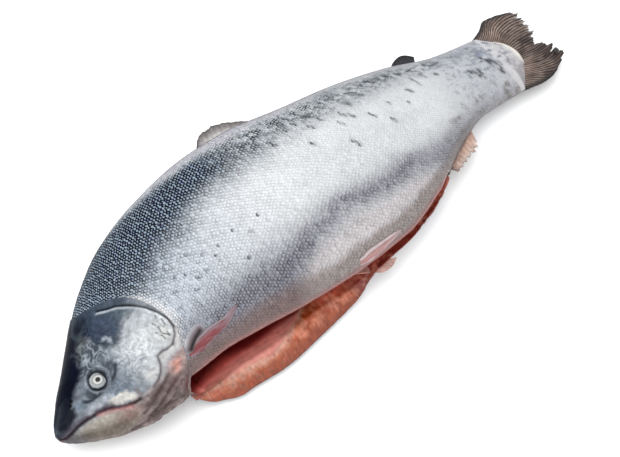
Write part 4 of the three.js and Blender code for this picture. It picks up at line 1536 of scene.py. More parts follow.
        lay(
            torn.plate(self.maxilla, 3.6) * ramp(small, -1.6, -0.4) * ramp(s, 0.076, 0.088),
            (214, 210, 203), 0.85
        )
        lay(chart.line(((0.1, 133), (0.112, 134.5), (0.122, 131), (0.122, 126)), 1.6), (130, 116, 118), 0.7)
        lay(chart.line(self.mouth, 1.5), (52, 38, 44), 0.9)
        lay(
            chart.line(((0.06, 123.5), (0.075, 127), (0.088, 132.5), (0.102, 137.5)), 2.0),
            (176, 124, 122), 0.6
        )
        self.gill_cover(chart, skin, curls, small)
        for place in self.nostrils:
            lay(1 - ramp(chart.spot(*place), 0.8, 2.0), (8, 9, 14))
        busy = bell(s, 0.13, 0.06) * ramp(side, 45, 62) * (1 - ramp(side, 112, 126))
        grain = layered_cloud(at, 2.2, 63, 2)
        return skin.colour * np.exp(0.18 * small + 0.2 * grain + 0.28 * busy * swirl)[..., None]

    def throat(self, chart: FlankMap, skin: Painter, curls: Array, small: Array) -> None:
        """Lay the shades of the lower jaw and the folded throat.

        Args:
            chart: The places to colour.
            skin: The shades so far.
            curls: Large marbling of the places.
            small: Fine mottling of the places.
        """
        s, side = chart.s, chart.side
        skin.lay(ramp(side, 131, 138), (158, 148, 146), 0.95)
        skin.lay(ramp(side, 137, 146), (124, 110, 107), 0.95)
        skin.lay(ramp(side, 136, 150) * ramp(small, 0.0, 0.6), (152, 140, 136), 0.6)
        skin.lay(ramp(side, 138, 150) * ramp(-curls, 0.1, 0.5), (92, 86, 86), 0.5)
        skin.lay(ramp(s, 0.165, 0.2) * ramp(side, 150, 162), (112, 58, 56), 0.9)
        skin.lay(chart.plate(self.jaw, 8.0), (172, 165, 155), 0.95)
        # Painted shade: the lower jaw darkens towards its underside, away from the light.
        skin.lay(chart.plate(self.jaw, 8.0) * ramp(side, 131, 150), (110, 102, 94), 0.95)
        skin.lay(bell(s, 0.172, 0.012) * bell(side, 146, 5), (98, 76, 76), 0.8)
        skin.lay(bell(s, 0.092, 0.016) * bell(side, 143, 10), (140, 112, 108), 0.7)
        skin.lay(bell(s, 0.012, 0.014) * ramp(side, 128, 140), (98, 99, 104), 0.8)
        # Painted shade in the creases of the throat folds.
        for i, fold in enumerate(self.folds):
            skin.lay(chart.line(fold, 1.8), (74, 60, 60), (0.75, 0.7, 0.45, 0.6, 0.5, 0.4)[i])

    def crown(self, torn: FlankMap, skin: Painter, curls: Array, swirl: Array) -> None:
        """Lay the dark shades of the crown, snout and temple.

        Args:
            torn: The places to colour, shifted a little so that edges wander.
            skin: The shades so far.
            curls: Large marbling of the places.
            swirl: Fine bright and dark curls of the places.
        """
        s, side = torn.s, torn.side
        temple = torn.plate(self.temple, 9.0)
        skin.lay(temple, (92, 99, 107), 0.9)
        skin.lay(temple * ramp(swirl, 0.0, 0.9), (150, 158, 166), 0.55)
        skin.lay(temple * ramp(-swirl, 0.0, 0.9), (48, 54, 64), 0.5)
        cap = ramp(self.cap_edge.at(s) + 4.5 * bell(s, 0.065, 0.022) - side + 9.0 * curls, -11, 11)
        skin.lay(cap, (26, 32, 41))
        skin.lay(cap * ramp(s, 0.13, 0.17), (68, 78, 91))
        skin.lay(cap * (1 - ramp(s, 0.02, 0.055)) * bell(side, 62, 14), (62, 67, 73), 0.8)
        skin.lay(cap * ramp(curls, 0.05, 0.6), (74, 84, 94), 0.45)
        skin.lay(cap * ramp(-curls, 0.15, 0.7), (14, 18, 27), 0.4)
        skin.lay(bell(s, 0.116, 0.012) * bell(side, 58, 9) * ramp(swirl, -1.2, 0.2), (104, 110, 112), 0.8)
        skin.lay(torn.plate(self.slate_plate, 8.0), (64, 73, 88), 0.8)
        skin.lay(bell(s, 0.186, 0.012) * bell(side, 75, 6), (96, 108, 116), 0.7)
        skin.lay(ramp(s, 0.195, 0.215) * bell(side, 60, 18), (112, 125, 138), 0.8)
        skin.lay(torn.line(((0.141, 76), (0.146, 79), (0.144, 83)), 1.6), (196, 204, 212), 0.6)
        skin.lay(torn.plate(self.fore_plate, 5.0), (104, 116, 128), 0.9)
        skin.lay(torn.plate(self.brow_plate, 6.0) * ramp(curls, -1.0, 0.0), (120, 126, 137), 0.8)
        skin.lay(bell(s, 0.033, 0.014) * bell(side, 100, 12) * ramp(curls, -0.2, 0.4), (84, 94, 108), 0.6)

    def around_eye(self, torn: FlankMap, chart: FlankMap, skin: Painter, curls: Array) -> None:
        """Lay the shades of the eye's socket and lids.

        Args:
            torn: The places, shifted a little so that edges wander.
            chart: The places to colour.
            skin: The shades so far.
            curls: Large marbling of the places.
        """
        eye = chart.spot(self.eye_station, self.eye_angle)
        skin.lay((1 - ramp(eye, 10.0, 17.0)) * ramp(curls, -0.5, 0.4), (116, 124, 134), 0.6)
        skin.lay(torn.plate(self.front_socket, 4.0), (56, 62, 70), 0.9)
        skin.lay(torn.plate(self.rear_socket, 4.0), (60, 66, 76), 0.8)
        skin.lay(bell(torn.s, 0.095, 0.013) * bell(torn.side, 82.5, 4.5), (44, 50, 58), 0.85)
        # Painted shadow in the crease under the eye.
        skin.lay(chart.line(self.lid_line, 1.7), (38, 42, 50), 0.9)
        skin.lay(bell(eye, 11.2, 1.0) * ramp(curls, -0.4, 0.2), (150, 157, 166), 0.5)
        skin.lay(1 - ramp(eye, self.lid_radius - 0.8, self.lid_radius + 1.2), (40, 43, 50), 0.95)

    def gill_cover(self, chart: FlankMap, skin: Painter, curls: Array, small: Array) -> None:
        """Lay the shades of the gill cover's rim, with painted shadow in the groove along it, its cracks
        and the tissue behind it.

        Args:
            chart: The places to colour.
            skin: The shades so far.
            curls: Large marbling of the places.
            small: Fine mottling of the places.
        """
        s, side = chart.s, chart.side
        border = self.gill_rim + self.cheek_edge[1:]
        gap = chart.distance(border)
        plate = border + ((0.12, 120), (0.11, 100), (0.12, 70), (0.15, 58))
        behind = ~inside_outline(s, side, plate) * ramp(s, 0.165, 0.185)
        for low, high, shade in (
            (60, 78, (74, 82, 94)), (76, 104, (116, 122, 130)), (
                104, 132, (208, 203, 200)
            ), (130, 150, (176, 152, 149)),
        ):
            band = ramp(side, low - 3, low + 3) * (1 - ramp(side, high - 0.1 * high, high + 3))
            skin.lay(behind * ramp(gap, 0.3, 2.2) * band, shade, 0.85)
        skin.lay(
            chart.line(tuple((a - 0.004, b + 1.0) for a, b in self.gill_rim[:7]), 1.0), (212, 216, 222),
            0.5
        )
        # Painted shadow in the groove along the gill cover's rim: dark over the upper rim, softer along the
        # lower rim and the cheek's edge.
        skin.lay(chart.line(self.gill_rim[:8], 1.2), (22, 25, 33), 0.95)
        skin.lay(chart.line(self.gill_rim[7:], 1.1), (104, 94, 96), 0.8)
        skin.lay(chart.line(self.cheek_edge, 1.25), (98, 86, 88), 0.75)
        skin.lay(chart.plate(self.gill_patch, 7.0) * ramp(small, -1.2, 0.0), (208, 134, 116), 0.65)
        skin.lay(chart.plate(self.gill_patch, 11.0) * ramp(small, -0.4, 0.5), (204, 160, 150), 0.5)
        for crack in self.cracks:
            skin.lay(chart.line(crack, 0.65) * ramp(small, -0.35, 0.15), (66, 62, 64), 0.85)
        for wrinkle in self.wrinkles:
            skin.lay(chart.line(wrinkle, 1.2) * ramp(curls, -0.5, 0.2), (104, 112, 126), 0.55)

    def build(self) -> bpy.types.Object:
        """Build the head as one closed form.

        Returns:
            The finished piece.
        """
        form = self.form
        left = np.arange(-18, 200, self.near_step)
        right = np.arange(left[-1] + self.far_step, left[0] + 360 - self.far_step / 2, self.far_step)
        around = np.concatenate([left, right])
        degrees = np.mod(around, 360)
        side = np.where(degrees <= 180, degrees, 360 - degrees)
        share = np.linspace(0, 1, self.rows)[:, None]
        edge = form.gill_edge.at(side)[None, :]
        s = edge * (0.004 + 0.996 * share**1.15)
        side = np.broadcast_to(side[None, :], s.shape)
        degrees = np.broadcast_to(degrees[None, :], s.shape)
        chart = FlankMap(form, s, side)
        points = form.place(s, *form.oval(s, degrees, self.lift(chart)))
        rings = [points]
        shades = [self.tint(chart)]
        for back, depth in ((0.0015, 0.6), (0.0025, 2.5), (0.004, 6.0), (0.012, 12.0)):
            y, z = form.oval(s[-1] - back, degrees[-1], -depth + 1.2)
            rings.append(form.place(s[-1] - back, y, np.maximum(z, 1.0))[None])
            shades.append(np.broadcast_to(paint(84, 52, 52), (1, len(around), 3)))
        points = np.concatenate(rings)
        tint = np.concatenate(shades)
        rows, columns = points.shape[:2]
        flat = points.reshape(-1, 3)
        ends = np.stack([points[0].mean(0), points[-1].mean(0)])
        piece = build_mesh("head", np.concatenate([flat, ends]), capped_faces(rows, columns))
        tints = np.concatenate([tint.reshape(-1, 3), tint[0, :1], tint[-1, :1]])
        store(piece, "tint", "FLOAT_COLOR", tints)
        shine = 0.75 * ramp(side, 70, 95) * (1 - ramp(side, 125, 140))
        shine = np.concatenate([shine.ravel(), np.zeros(4 * columns + 2)])
        store(piece, "shine", "FLOAT", shine)
        return piece


@dataclass
class Eye:
    """A domed eye in its socket."""

    form: FishForm
    left: bool = True
    station: float = 0.0955
    angle: float = 94.7
    radius: float = 8.0
    rise: float = 3.0
    sink: float = -1.8
    rings: int = 24
    sides: int = 48

    def build(self) -> bpy.types.Object:
        """Build the eye as a closed dome.

        Returns:
            The finished piece.
        """
        degrees = self.angle if self.left else 360 - self.angle
        s = np.array(self.station)
        middle = self.form.place(s, *self.form.oval(s, degrees, self.sink))
        out = self.form.place(s, *self.form.oval(s, degrees, self.sink + 1)) - middle
        if not self.left:
            out = np.array([0.0, -0.1, -1.0])
            middle = middle + np.array([0, 0, 4.0])
        out = unit(out)
        tail = self.form.place(s + 0.01, *self.form.oval(s + 0.01, degrees, self.sink)) - middle
        tail = unit(tail - out * float(tail @ out))
        across = np.cross(out, tail)
        r = np.sin(np.linspace(0.02, 1, self.rings) * np.pi / 2)[:, None]
        a = np.linspace(0, 2 * np.pi, self.sides, endpoint=False)[None, :]
        dome = self.rise * np.sqrt(np.clip(1 - (r * 0.97) ** 2, 0, 1))
        xyz = (
            middle
            + (r * self.radius * 1.1 * np.cos(a))[..., None] * tail
            + (r * self.radius * np.sin(a))[..., None] * across
            + (dome + 0 * a)[..., None] * out
        )
        reach = r + 0 * a
        base = xyz[-1:] - out * 2.5
        xyz = np.concatenate([xyz, base])
        reach = np.concatenate([reach, np.ones((1, self.sides))])
        rows, columns = xyz.shape[:2]
        hubs = np.stack([middle + out * self.rise, middle - out * 2.5])
        faces = capped_faces(rows, columns, flip=True)
        name = "eye_left" if self.left else "eye_right"
        piece = build_mesh(name, np.concatenate([xyz.reshape(-1, 3), hubs]), faces)
        store(piece, "reach", "FLOAT", np.concatenate([reach.ravel(), [0.0, 1.0]]))
        return piece


@dataclass
class Hollow:
    """The cut faces and the lining of the opened belly."""

    form: FishForm
    rows: int = 240
    columns: int = 120
    wall: float = 1.4
    lit_up: float = 0.5
    lining_edge: SizeCurve = SizeCurve(
        (
            0.19, 0.235, 0.27, 0.33, 0.36, 0.39, 0.41, 0.43, 0.46, 0.8
        ), (1.3, 1.0, 0.82, 0.74, 0.84, 1.15, 1.5, 2.0, 3.2, 4.0)
    )

    def section(self, s: float) -> Array:
        """Corners of the hollow's outline at one station.

        Args:
            s: Station.

        Returns:
            Distance towards the back and height of each corner, shape (n, 2).
        """
        f = self.form
        belly, wall, reach = float(f.belly.at(s)), float(f.wall.at(s)), float(f.hollow_reach.at(s))
        axis, thick = float(f.axis_height.at(s)), float(f.thick.at(s))
        low = f.outline(np.array(s), np.array(f.flap_edge_angle))
        edge = np.array([float(low[0]), float(low[1])])
        ridge = np.array(
            [
                -(belly + float(f.flap_reach.at(s))) + float(f.flap_cut_width.at(s)),
                float(f.flap_height.at(s)) + float(f.flap_cut_rise.at(s)),
            ]
        )
        top = f.outline(np.array(s), np.array(float(f.upper_edge.at(s))))
        lip = np.array([float(top[0]), float(top[1])])
        inside = lip + np.array([wall * 0.8, -wall * 0.35])
        slack = np.clip(float(f.flap_reach.at(s)) / 16, 0, 1)

        def floor(part: float) -> Array:
            """Point of the hollow's floor.

            Args:
                part: 0 at the ridge, 1 at the deepest place.

            Returns:
                Distance towards the back and height.
            """
            y = ridge[0] + (reach - ridge[0]) * part
            across = np.clip(y / belly, -1, 1)
            shell = axis - thick * math.sqrt(1 - across * across) + wall
            z = max(float(f.floor.at(s)), shell + (float(f.floor.at(s)) - shell) * slack)
            low_z = min(z, ridge[1] - 0.5)
            return np.array([y, low_z + (axis - low_z) * 0.3 * part**6])

        def roof(part: float) -> Array:
            """Point of the hollow's roof.

            Args:
                part: 0 at the lip, 1 at the deepest place.

            Returns:
                Distance towards the back and height.
            """
            y = inside[0] + (reach - inside[0]) * part
            across = np.clip(y / belly, -1, 1)
            high = axis + thick * math.sqrt(1 - across * across) - wall
            end = (floor(1)[1] + high) / 2
            start = max(inside[1], high)
            return np.array([y, max(start + (end - start) * part**4, floor(part)[1] + 1)])

        return np.array(
            [edge, ridge]
            + [floor(t) for t in (0.12, 0.3, 0.6, 0.95)]
            + [roof(t) for t in (1.0, 0.92, 0.7, 0.4, 0.15)]
            + [inside, lip]
        )

    def build(self) -> bpy.types.Object:
        """Build the lining as a thin closed shell.

        Returns:
            The finished piece.
        """
        form = self.form
        stations = np.linspace(CUT_STATIONS[0] + 0.002, CUT_STATIONS[-1], self.rows)
        share = np.concatenate([np.linspace(0, 1, 34), np.linspace(1, 12, self.columns - 33)[1:]])
        rows, places = [], []
        for s in stations:
            corners = self.section(float(s))
            order = np.arange(len(corners))
            fine = np.linspace(0, 12, 481)
            y = np.interp(fine, order, corners[:, 0])
            z = np.interp(fine, order, corners[:, 1])
            for _ in range(26):
                y[1:-1] = (y[:-2] + 2 * y[1:-1] + y[2:]) / 4
                z[1:-1] = (z[:-2] + 2 * z[1:-1] + z[2:]) / 4
            y, z = np.interp(share, fine, y), np.interp(share, fine, z)
            rows.append(form.place(np.full(self.columns, s), y, z))
            places.append(share)
        points = np.stack(rows)
        part = np.stack(places)
        s = np.broadcast_to(stations[:, None], part.shape)
        out = grid_normals(points)
        band = 1 - ramp(part, 0.95, 1.25)
        stretched = points * np.array([1.0, 0.35, 0.35])
        lift = 0.5 * band * layered_cloud(points, 7.0, 71) + 0.25 * layered_cloud(points, 3.0, 73)
        lift += 0.7 * ramp(s, 0.46, 0.52) * (1 - ramp(s, 0.56, 0.6)) * layered_cloud(stretched, 5.0, 75)
        lift += 1.1 * bell(s, 0.232, 0.018) * bell(part, 1.3, 0.45) * layered_cloud(points, 3.2, 77)
        lift += 0.5 * bell(part, 1.0, 0.12) * (1 - ramp(s, 0.48, 0.52))
        pinned = ramp(part, 0.0, 0.12) * (1 - ramp(part, 11.9, 12.0))
        points = points + out * (lift * pinned)[..., None]
        tint = self.tint(s, part, points)
        flat = points.reshape(-1, 3)
        faces = capped_faces(self.rows, self.columns, closed=False)
        hubs = np.stack([points[0].mean(0) - np.array([2.0, 0, 0]), points[-1].mean(0)])
        piece = build_mesh("belly_hollow", np.concatenate([flat, hubs]), faces)
        # Painted shade: the hollow's end walls darken to deep red towards their middles.
        tints = np.concatenate([tint.reshape(-1, 3), np.tile(paint(70, 12, 14), (2, 1))])
        store(piece, "tint", "FLOAT_COLOR", tints)
        store(piece, "shine", "FLOAT", np.zeros(len(tints)))
        shell = piece.modifiers.new("wall", "SOLIDIFY")
        shell.thickness = self.wall * MM
        shell.offset = -1.0
        return piece

    def tint(self, s: Array, part: Array, points: Array) -> Array:
        """Colours of the flesh.

        Args:
            s: Stations.
            part: Place across: 0 outer edge, 1 ridge, 2 to 5 floor, 6 to 10 roof, 12 upper edge.
            points: Positions in millimetres.

        Returns:
            Linear colours, last axis 3.
        """
        big = layered_cloud(points, 18.0, 81, 3)
        small = layered_cloud(points, 4.5, 83, 3)
        fibres = layered_cloud(points * np.array([1.7, 0.5, 1.0]), 6.5, 87, 3)
        flesh = Painter(part.shape, (198, 116, 84))
        lay = flesh.lay
        lay(ramp(s, 0.3, 0.42) * ramp(fibres + 0.3 * big, -0.4, 0.5), (188, 100, 66), 0.75)
        lay(ramp(s, 0.33, 0.4) * ramp(fibres, 0.05, 0.35), (162, 66, 30), 0.85)
        lay(ramp(s, 0.33, 0.4) * ramp(-fibres, 0.1, 0.45), (222, 142, 114), 0.6)
        lay((1 - ramp(s, 0.3, 0.38)) * ramp(-fibres, -0.3, 0.5), (200, 148, 126), 0.6)
        lay(bell(part, 0.35, 0.3) * ramp(s, 0.2, 0.26) * ramp(small, -0.3, 0.4), (156, 76, 44), 0.85)
        lay(1 - ramp(part, 0.12, 0.7), (140, 64, 40), 0.85)
        lay(1 - ramp(part, 0.0, 0.08), (112, 68, 58), 0.85)
        edge = self.lining_edge.at(s) + 0.08 * small
        inside = ramp(part, edge, edge + 0.25)
        # Lining pink, painted brighter than its own colour to offset the shade inside the hollow, most of
        # all on the slope below the ridge.
        lay(inside, (226, 142, 130))
        lay(inside * ramp(part, 1.3, 1.7), (240, 144, 134), 0.9)
        # Painted shadow: the lining turns deep red under the upper lip, where the flank overhangs the
        # hollow.
        lay(inside * ramp(part, 1.7, 2.4), (164, 66, 60))
        deep = part + 0.45 * ramp(s, 0.25, 0.33) + 0.35 * ramp(s, 0.36, 0.44)
        lay(inside * ramp(deep, 2.3, 2.9), (98, 14, 14))
        lay(ramp(s, 0.42, 0.46) * bell(part, 1.8, 0.7), (190, 96, 88), 0.6)
        # Painted shadow under the upper lip towards the rear.
        lay(ramp(s, 0.38, 0.44) * ramp(part, 1.7, 2.3), (98, 20, 17), 0.9)
        lay(
            bell(part, edge, 0.14) * (1 - ramp(s, 0.41, 0.44)) * ramp(small, -1.2, 0.2),
            (206, 158, 140), 0.85
        )
        lay(bell(s, 0.226, 0.022) * bell(part, 1.0, 0.6) * ramp(small, -0.5, 0.3), (156, 72, 60), 0.7)
        lay(ramp(s, 0.49, 0.53) * ramp(small, -0.7, 0.2), (118, 42, 40), 0.85)
        lay(ramp(s, 0.49, 0.53) * ramp(-small, 0.1, 0.6), (176, 104, 92), 0.7)
        lay(ramp(part, 11.5, 11.9), (168, 116, 108), 0.9)
        lay((1 - ramp(s, 0.198, 0.212)) * ramp(part, 0.5, 0.9), (126, 50, 46), 0.7)
        # Painted light: the slope below the ridge is brightened to offset its shade.
        shade_offset_lift = 1 + self.lit_up * ramp(part, 1.0, 1.5) * (1 - ramp(part, 2.0, 2.8))
        streaks = layered_cloud(points * np.array([2.4, 0.8, 1.0]), 3.4, 89, 2)
        mottled = 1 + 0.16 * small + 0.3 * streaks * (1 - inside)
        return np.clip(flesh.colour * (mottled * shade_offset_lift)[..., None], 0, 0.95)


class Side(Enum):
    """Which outline a standing fin grows from."""

    BACK = 1
    BELLY = -1


@dataclass
class FinRays:
    """Fine rays of a fin, made as tapered rods by Geometry Nodes."""

    name: str
    lines: list[Array]
    radii: list[Array]
    tints: list[Array]
    sides: int = 5

    def tree(self) -> bpy.types.NodeTree:
        """Geometry Nodes tree that turns each line into a tapered rod.

        Returns:
            The tree.
        """
        found = bpy.data.node_groups.get("fin_rays")
        if found:
            return found
        tree = bpy.data.node_groups.new("fin_rays", "GeometryNodeTree")
        tree.interface.new_socket("Geometry", in_out="INPUT", socket_type="NodeSocketGeometry")
        tree.interface.new_socket("Sides", in_out="INPUT", socket_type="NodeSocketInt")
        tree.interface.new_socket("Finish", in_out="INPUT", socket_type="NodeSocketMaterial")
        tree.interface.new_socket("Geometry", in_out="OUTPUT", socket_type="NodeSocketGeometry")
        bench = NodeBench(tree)
        given = bench.add("NodeGroupInput").outputs
        line = bench.add("GeometryNodeMeshToCurve", {"Mesh": given["Geometry"]})
        girth = bench.stored("girth")
        sized = bench.add("GeometryNodeSetCurveRadius", {"Curve": line.outputs[0], "Radius": girth})
        ring = bench.add("GeometryNodeCurvePrimitiveCircle", {"Resolution": given["Sides"], "Radius": 1.0})
        rod = bench.add(
            "GeometryNodeCurveToMesh",
            {"Curve": sized.outputs[0], "Profile Curve": ring.outputs[0], "Fill Caps": True},
        )
        if "Scale" in rod.inputs:
            tree.links.new(girth, rod.inputs["Scale"])
        smooth = bench.add("GeometryNodeSetShadeSmooth", {0: rod.outputs[0]})
        return bench.dress(smooth.outputs[0], given["Finish"])

    def build(self, material: bpy.types.Material) -> bpy.types.Object:
        """Build the rays.

        Args:
            material: Their material.

        Returns:
            The finished piece.
        """
        mesh = bpy.data.meshes.new(self.name)
        points = np.concatenate(self.lines) * MM
        edges, start = [], 0
        for line in self.lines:
            edges += [(start + i, start + i + 1) for i in range(len(line) - 1)]
            start += len(line)
        mesh.from_pydata(points.tolist(), edges, [])
        piece = bpy.data.objects.new(self.name, mesh)
        bpy.context.scene.collection.objects.link(piece)
        store(piece, "girth", "FLOAT", np.concatenate(self.radii) * MM)
        store(piece, "tint", "FLOAT_COLOR", np.concatenate(self.tints))
        return run_tree(piece, self.tree(), {"Sides": self.sides, "Finish": material})


def sheet_piece(name: str, top: Array, under: Array, tint: Array) -> bpy.types.Object:
    """Closed sheet between two grids of points.

    Args:
        name: Name of the piece.
        top: Upper grid, shape (rows, columns, 3), in millimetres.
        under: Lower grid of the same shape.
        tint: Linear colours of the grid, shape (rows, columns, 3).

    Returns:
        The new object.
    """
    rows, columns = top.shape[:2]
    n = rows * columns
    faces = list(grid_faces(rows, columns)) + list(grid_faces(rows, columns, start=n, flip=True))
    loop = [j for j in range(columns)]
    loop += [i * columns + columns - 1 for i in range(1, rows)]
    loop += [(rows - 1) * columns + j for j in range(columns - 2, -1, -1)]
    loop += [i * columns for i in range(rows - 2, 0, -1)]
    for a, b in zip(loop, loop[1:] + loop[:1]):
        faces.append((b, a, a + n, b + n))
    piece = build_mesh(name, np.concatenate([top.reshape(-1, 3), under.reshape(-1, 3)]), faces)
    volume = 0.0
    mesh = piece.data
    centre = Vector(np.mean(top.reshape(-1, 3) * MM, 0))
    for face in mesh.polygons:
        volume += face.area * face.normal.dot(face.center - centre)
    if volume < 0:
        mesh.flip_normals()
    both = np.concatenate([tint.reshape(-1, 3)] * 2)
    store(piece, "tint", "FLOAT_COLOR", both)
    store(piece, "shine", "FLOAT", np.zeros(2 * n))
    return piece


FIN_PLACES = (0, 0.16, 0.38, 0.52, 0.66, 0.8, 1)


@dataclass
class StandingFin:
    """A fin that grows from the outline of the back or the belly."""

    form: FishForm
    name: str
    side: Side
    start: float
    end: float
    height: float
    rake: tuple[float, float]
    sink: float
    thickness: float
    edge: float
    level: float
    profile: SizeCurve
    near_root: Colour
    near_edge: Colour
    front: Colour
    ragged: float = 0.0
    ray_count: int = 14

    def middle(self, u: Array, v: Array) -> Array:
        """Points of the fin's middle surface.

        Args:
            u: 0 at the root, 1 at the edge.
            v: 0 at the front, 1 at the rear.

        Returns:
            Positions in millimetres, last axis 3.
        """
        base = self.start + (self.end - self.start) * v
        depth = (self.form.back if self.side is Side.BACK else self.form.belly).at(base)
        fray = 1 + self.ragged * (np.sin(37 * v) * 0.5 + np.sin(83 * v + 2) * 0.3) * ramp(u, 0.5, 1.0)
        grow = self.height * self.profile.at(v) * fray
        y = self.side.value * (depth - self.sink + (self.sink + grow) * u)
        z = self.level + 0.4 * np.sin(9 * v + 3 * u) * u
        return self.form.place(base + blend_values(*self.rake, v) * u, y, z)

    def build(self, membrane: bpy.types.Material) -> list[bpy.types.Object]:
        """Build the membrane and its rays.

        Args:
            membrane: Material of the fin.

        Returns:
            Membrane and rays.
        """
        u = np.linspace(0, 1, 26)[:, None]
        v = np.linspace(0, 1, 96)[None, :]
        mid = self.middle(u, v)
        out = grid_normals(mid)
        half = (
            blend_values(self.thickness, self.edge, u**0.8) / 2 * np.sin(np.pi * (0.04 + 0.92 * v)) ** 0.35
        )
        wave = 0.22 * np.cos(np.pi * 2 * v * self.ray_count) * ramp(u, 0.3, 0.8)
        top = mid + out * (half * 0.8 + wave * 0.5)[..., None]
        under = mid - out * (half * 0.8 - wave * 0.5)[..., None]
        fin = Painter((26, 96), self.near_root)
        fin.lay(ramp(u, 0.55, 0.95) + 0 * v, self.near_edge)
        fin.lay((1 - ramp(v, 0.02, 0.14)) * ramp(u, 0.3, 0.5), self.front, 0.85)
        fin.lay(ramp(u, 0.9, 1.0) + 0 * v, self.front, 0.5)
        between = 0.5 - 0.5 * np.cos(np.pi * 2 * v * self.ray_count)
        tint = fin.colour * (
            1 + 0.25 * layered_cloud(mid, 4.0, 91)[..., None]
        ) * (1 - 0.18 * between)[..., None]
        sheet = sheet_piece(self.name, top, under, tint)
        lines, radii, tints = [], [], []
        for k in range(self.ray_count):
            uu = np.linspace(0.05, 0.95, 12)
            vv = np.full(12, (k + 0.5) / self.ray_count)
            lines.append(self.middle(uu, vv))
            radii.append(blend_values(0.7, 0.25, uu) * (self.thickness / 2.6))
            shade = blend_values(
                paint(*self.near_root), paint(*self.near_edge), ramp(uu, 0.5, 1.0)[:, None]
            )
            tints.append(shade * 1.05)
        rays = FinRays(self.name + "_rays", lines, radii, tints).build(membrane)
        return [sheet, rays]


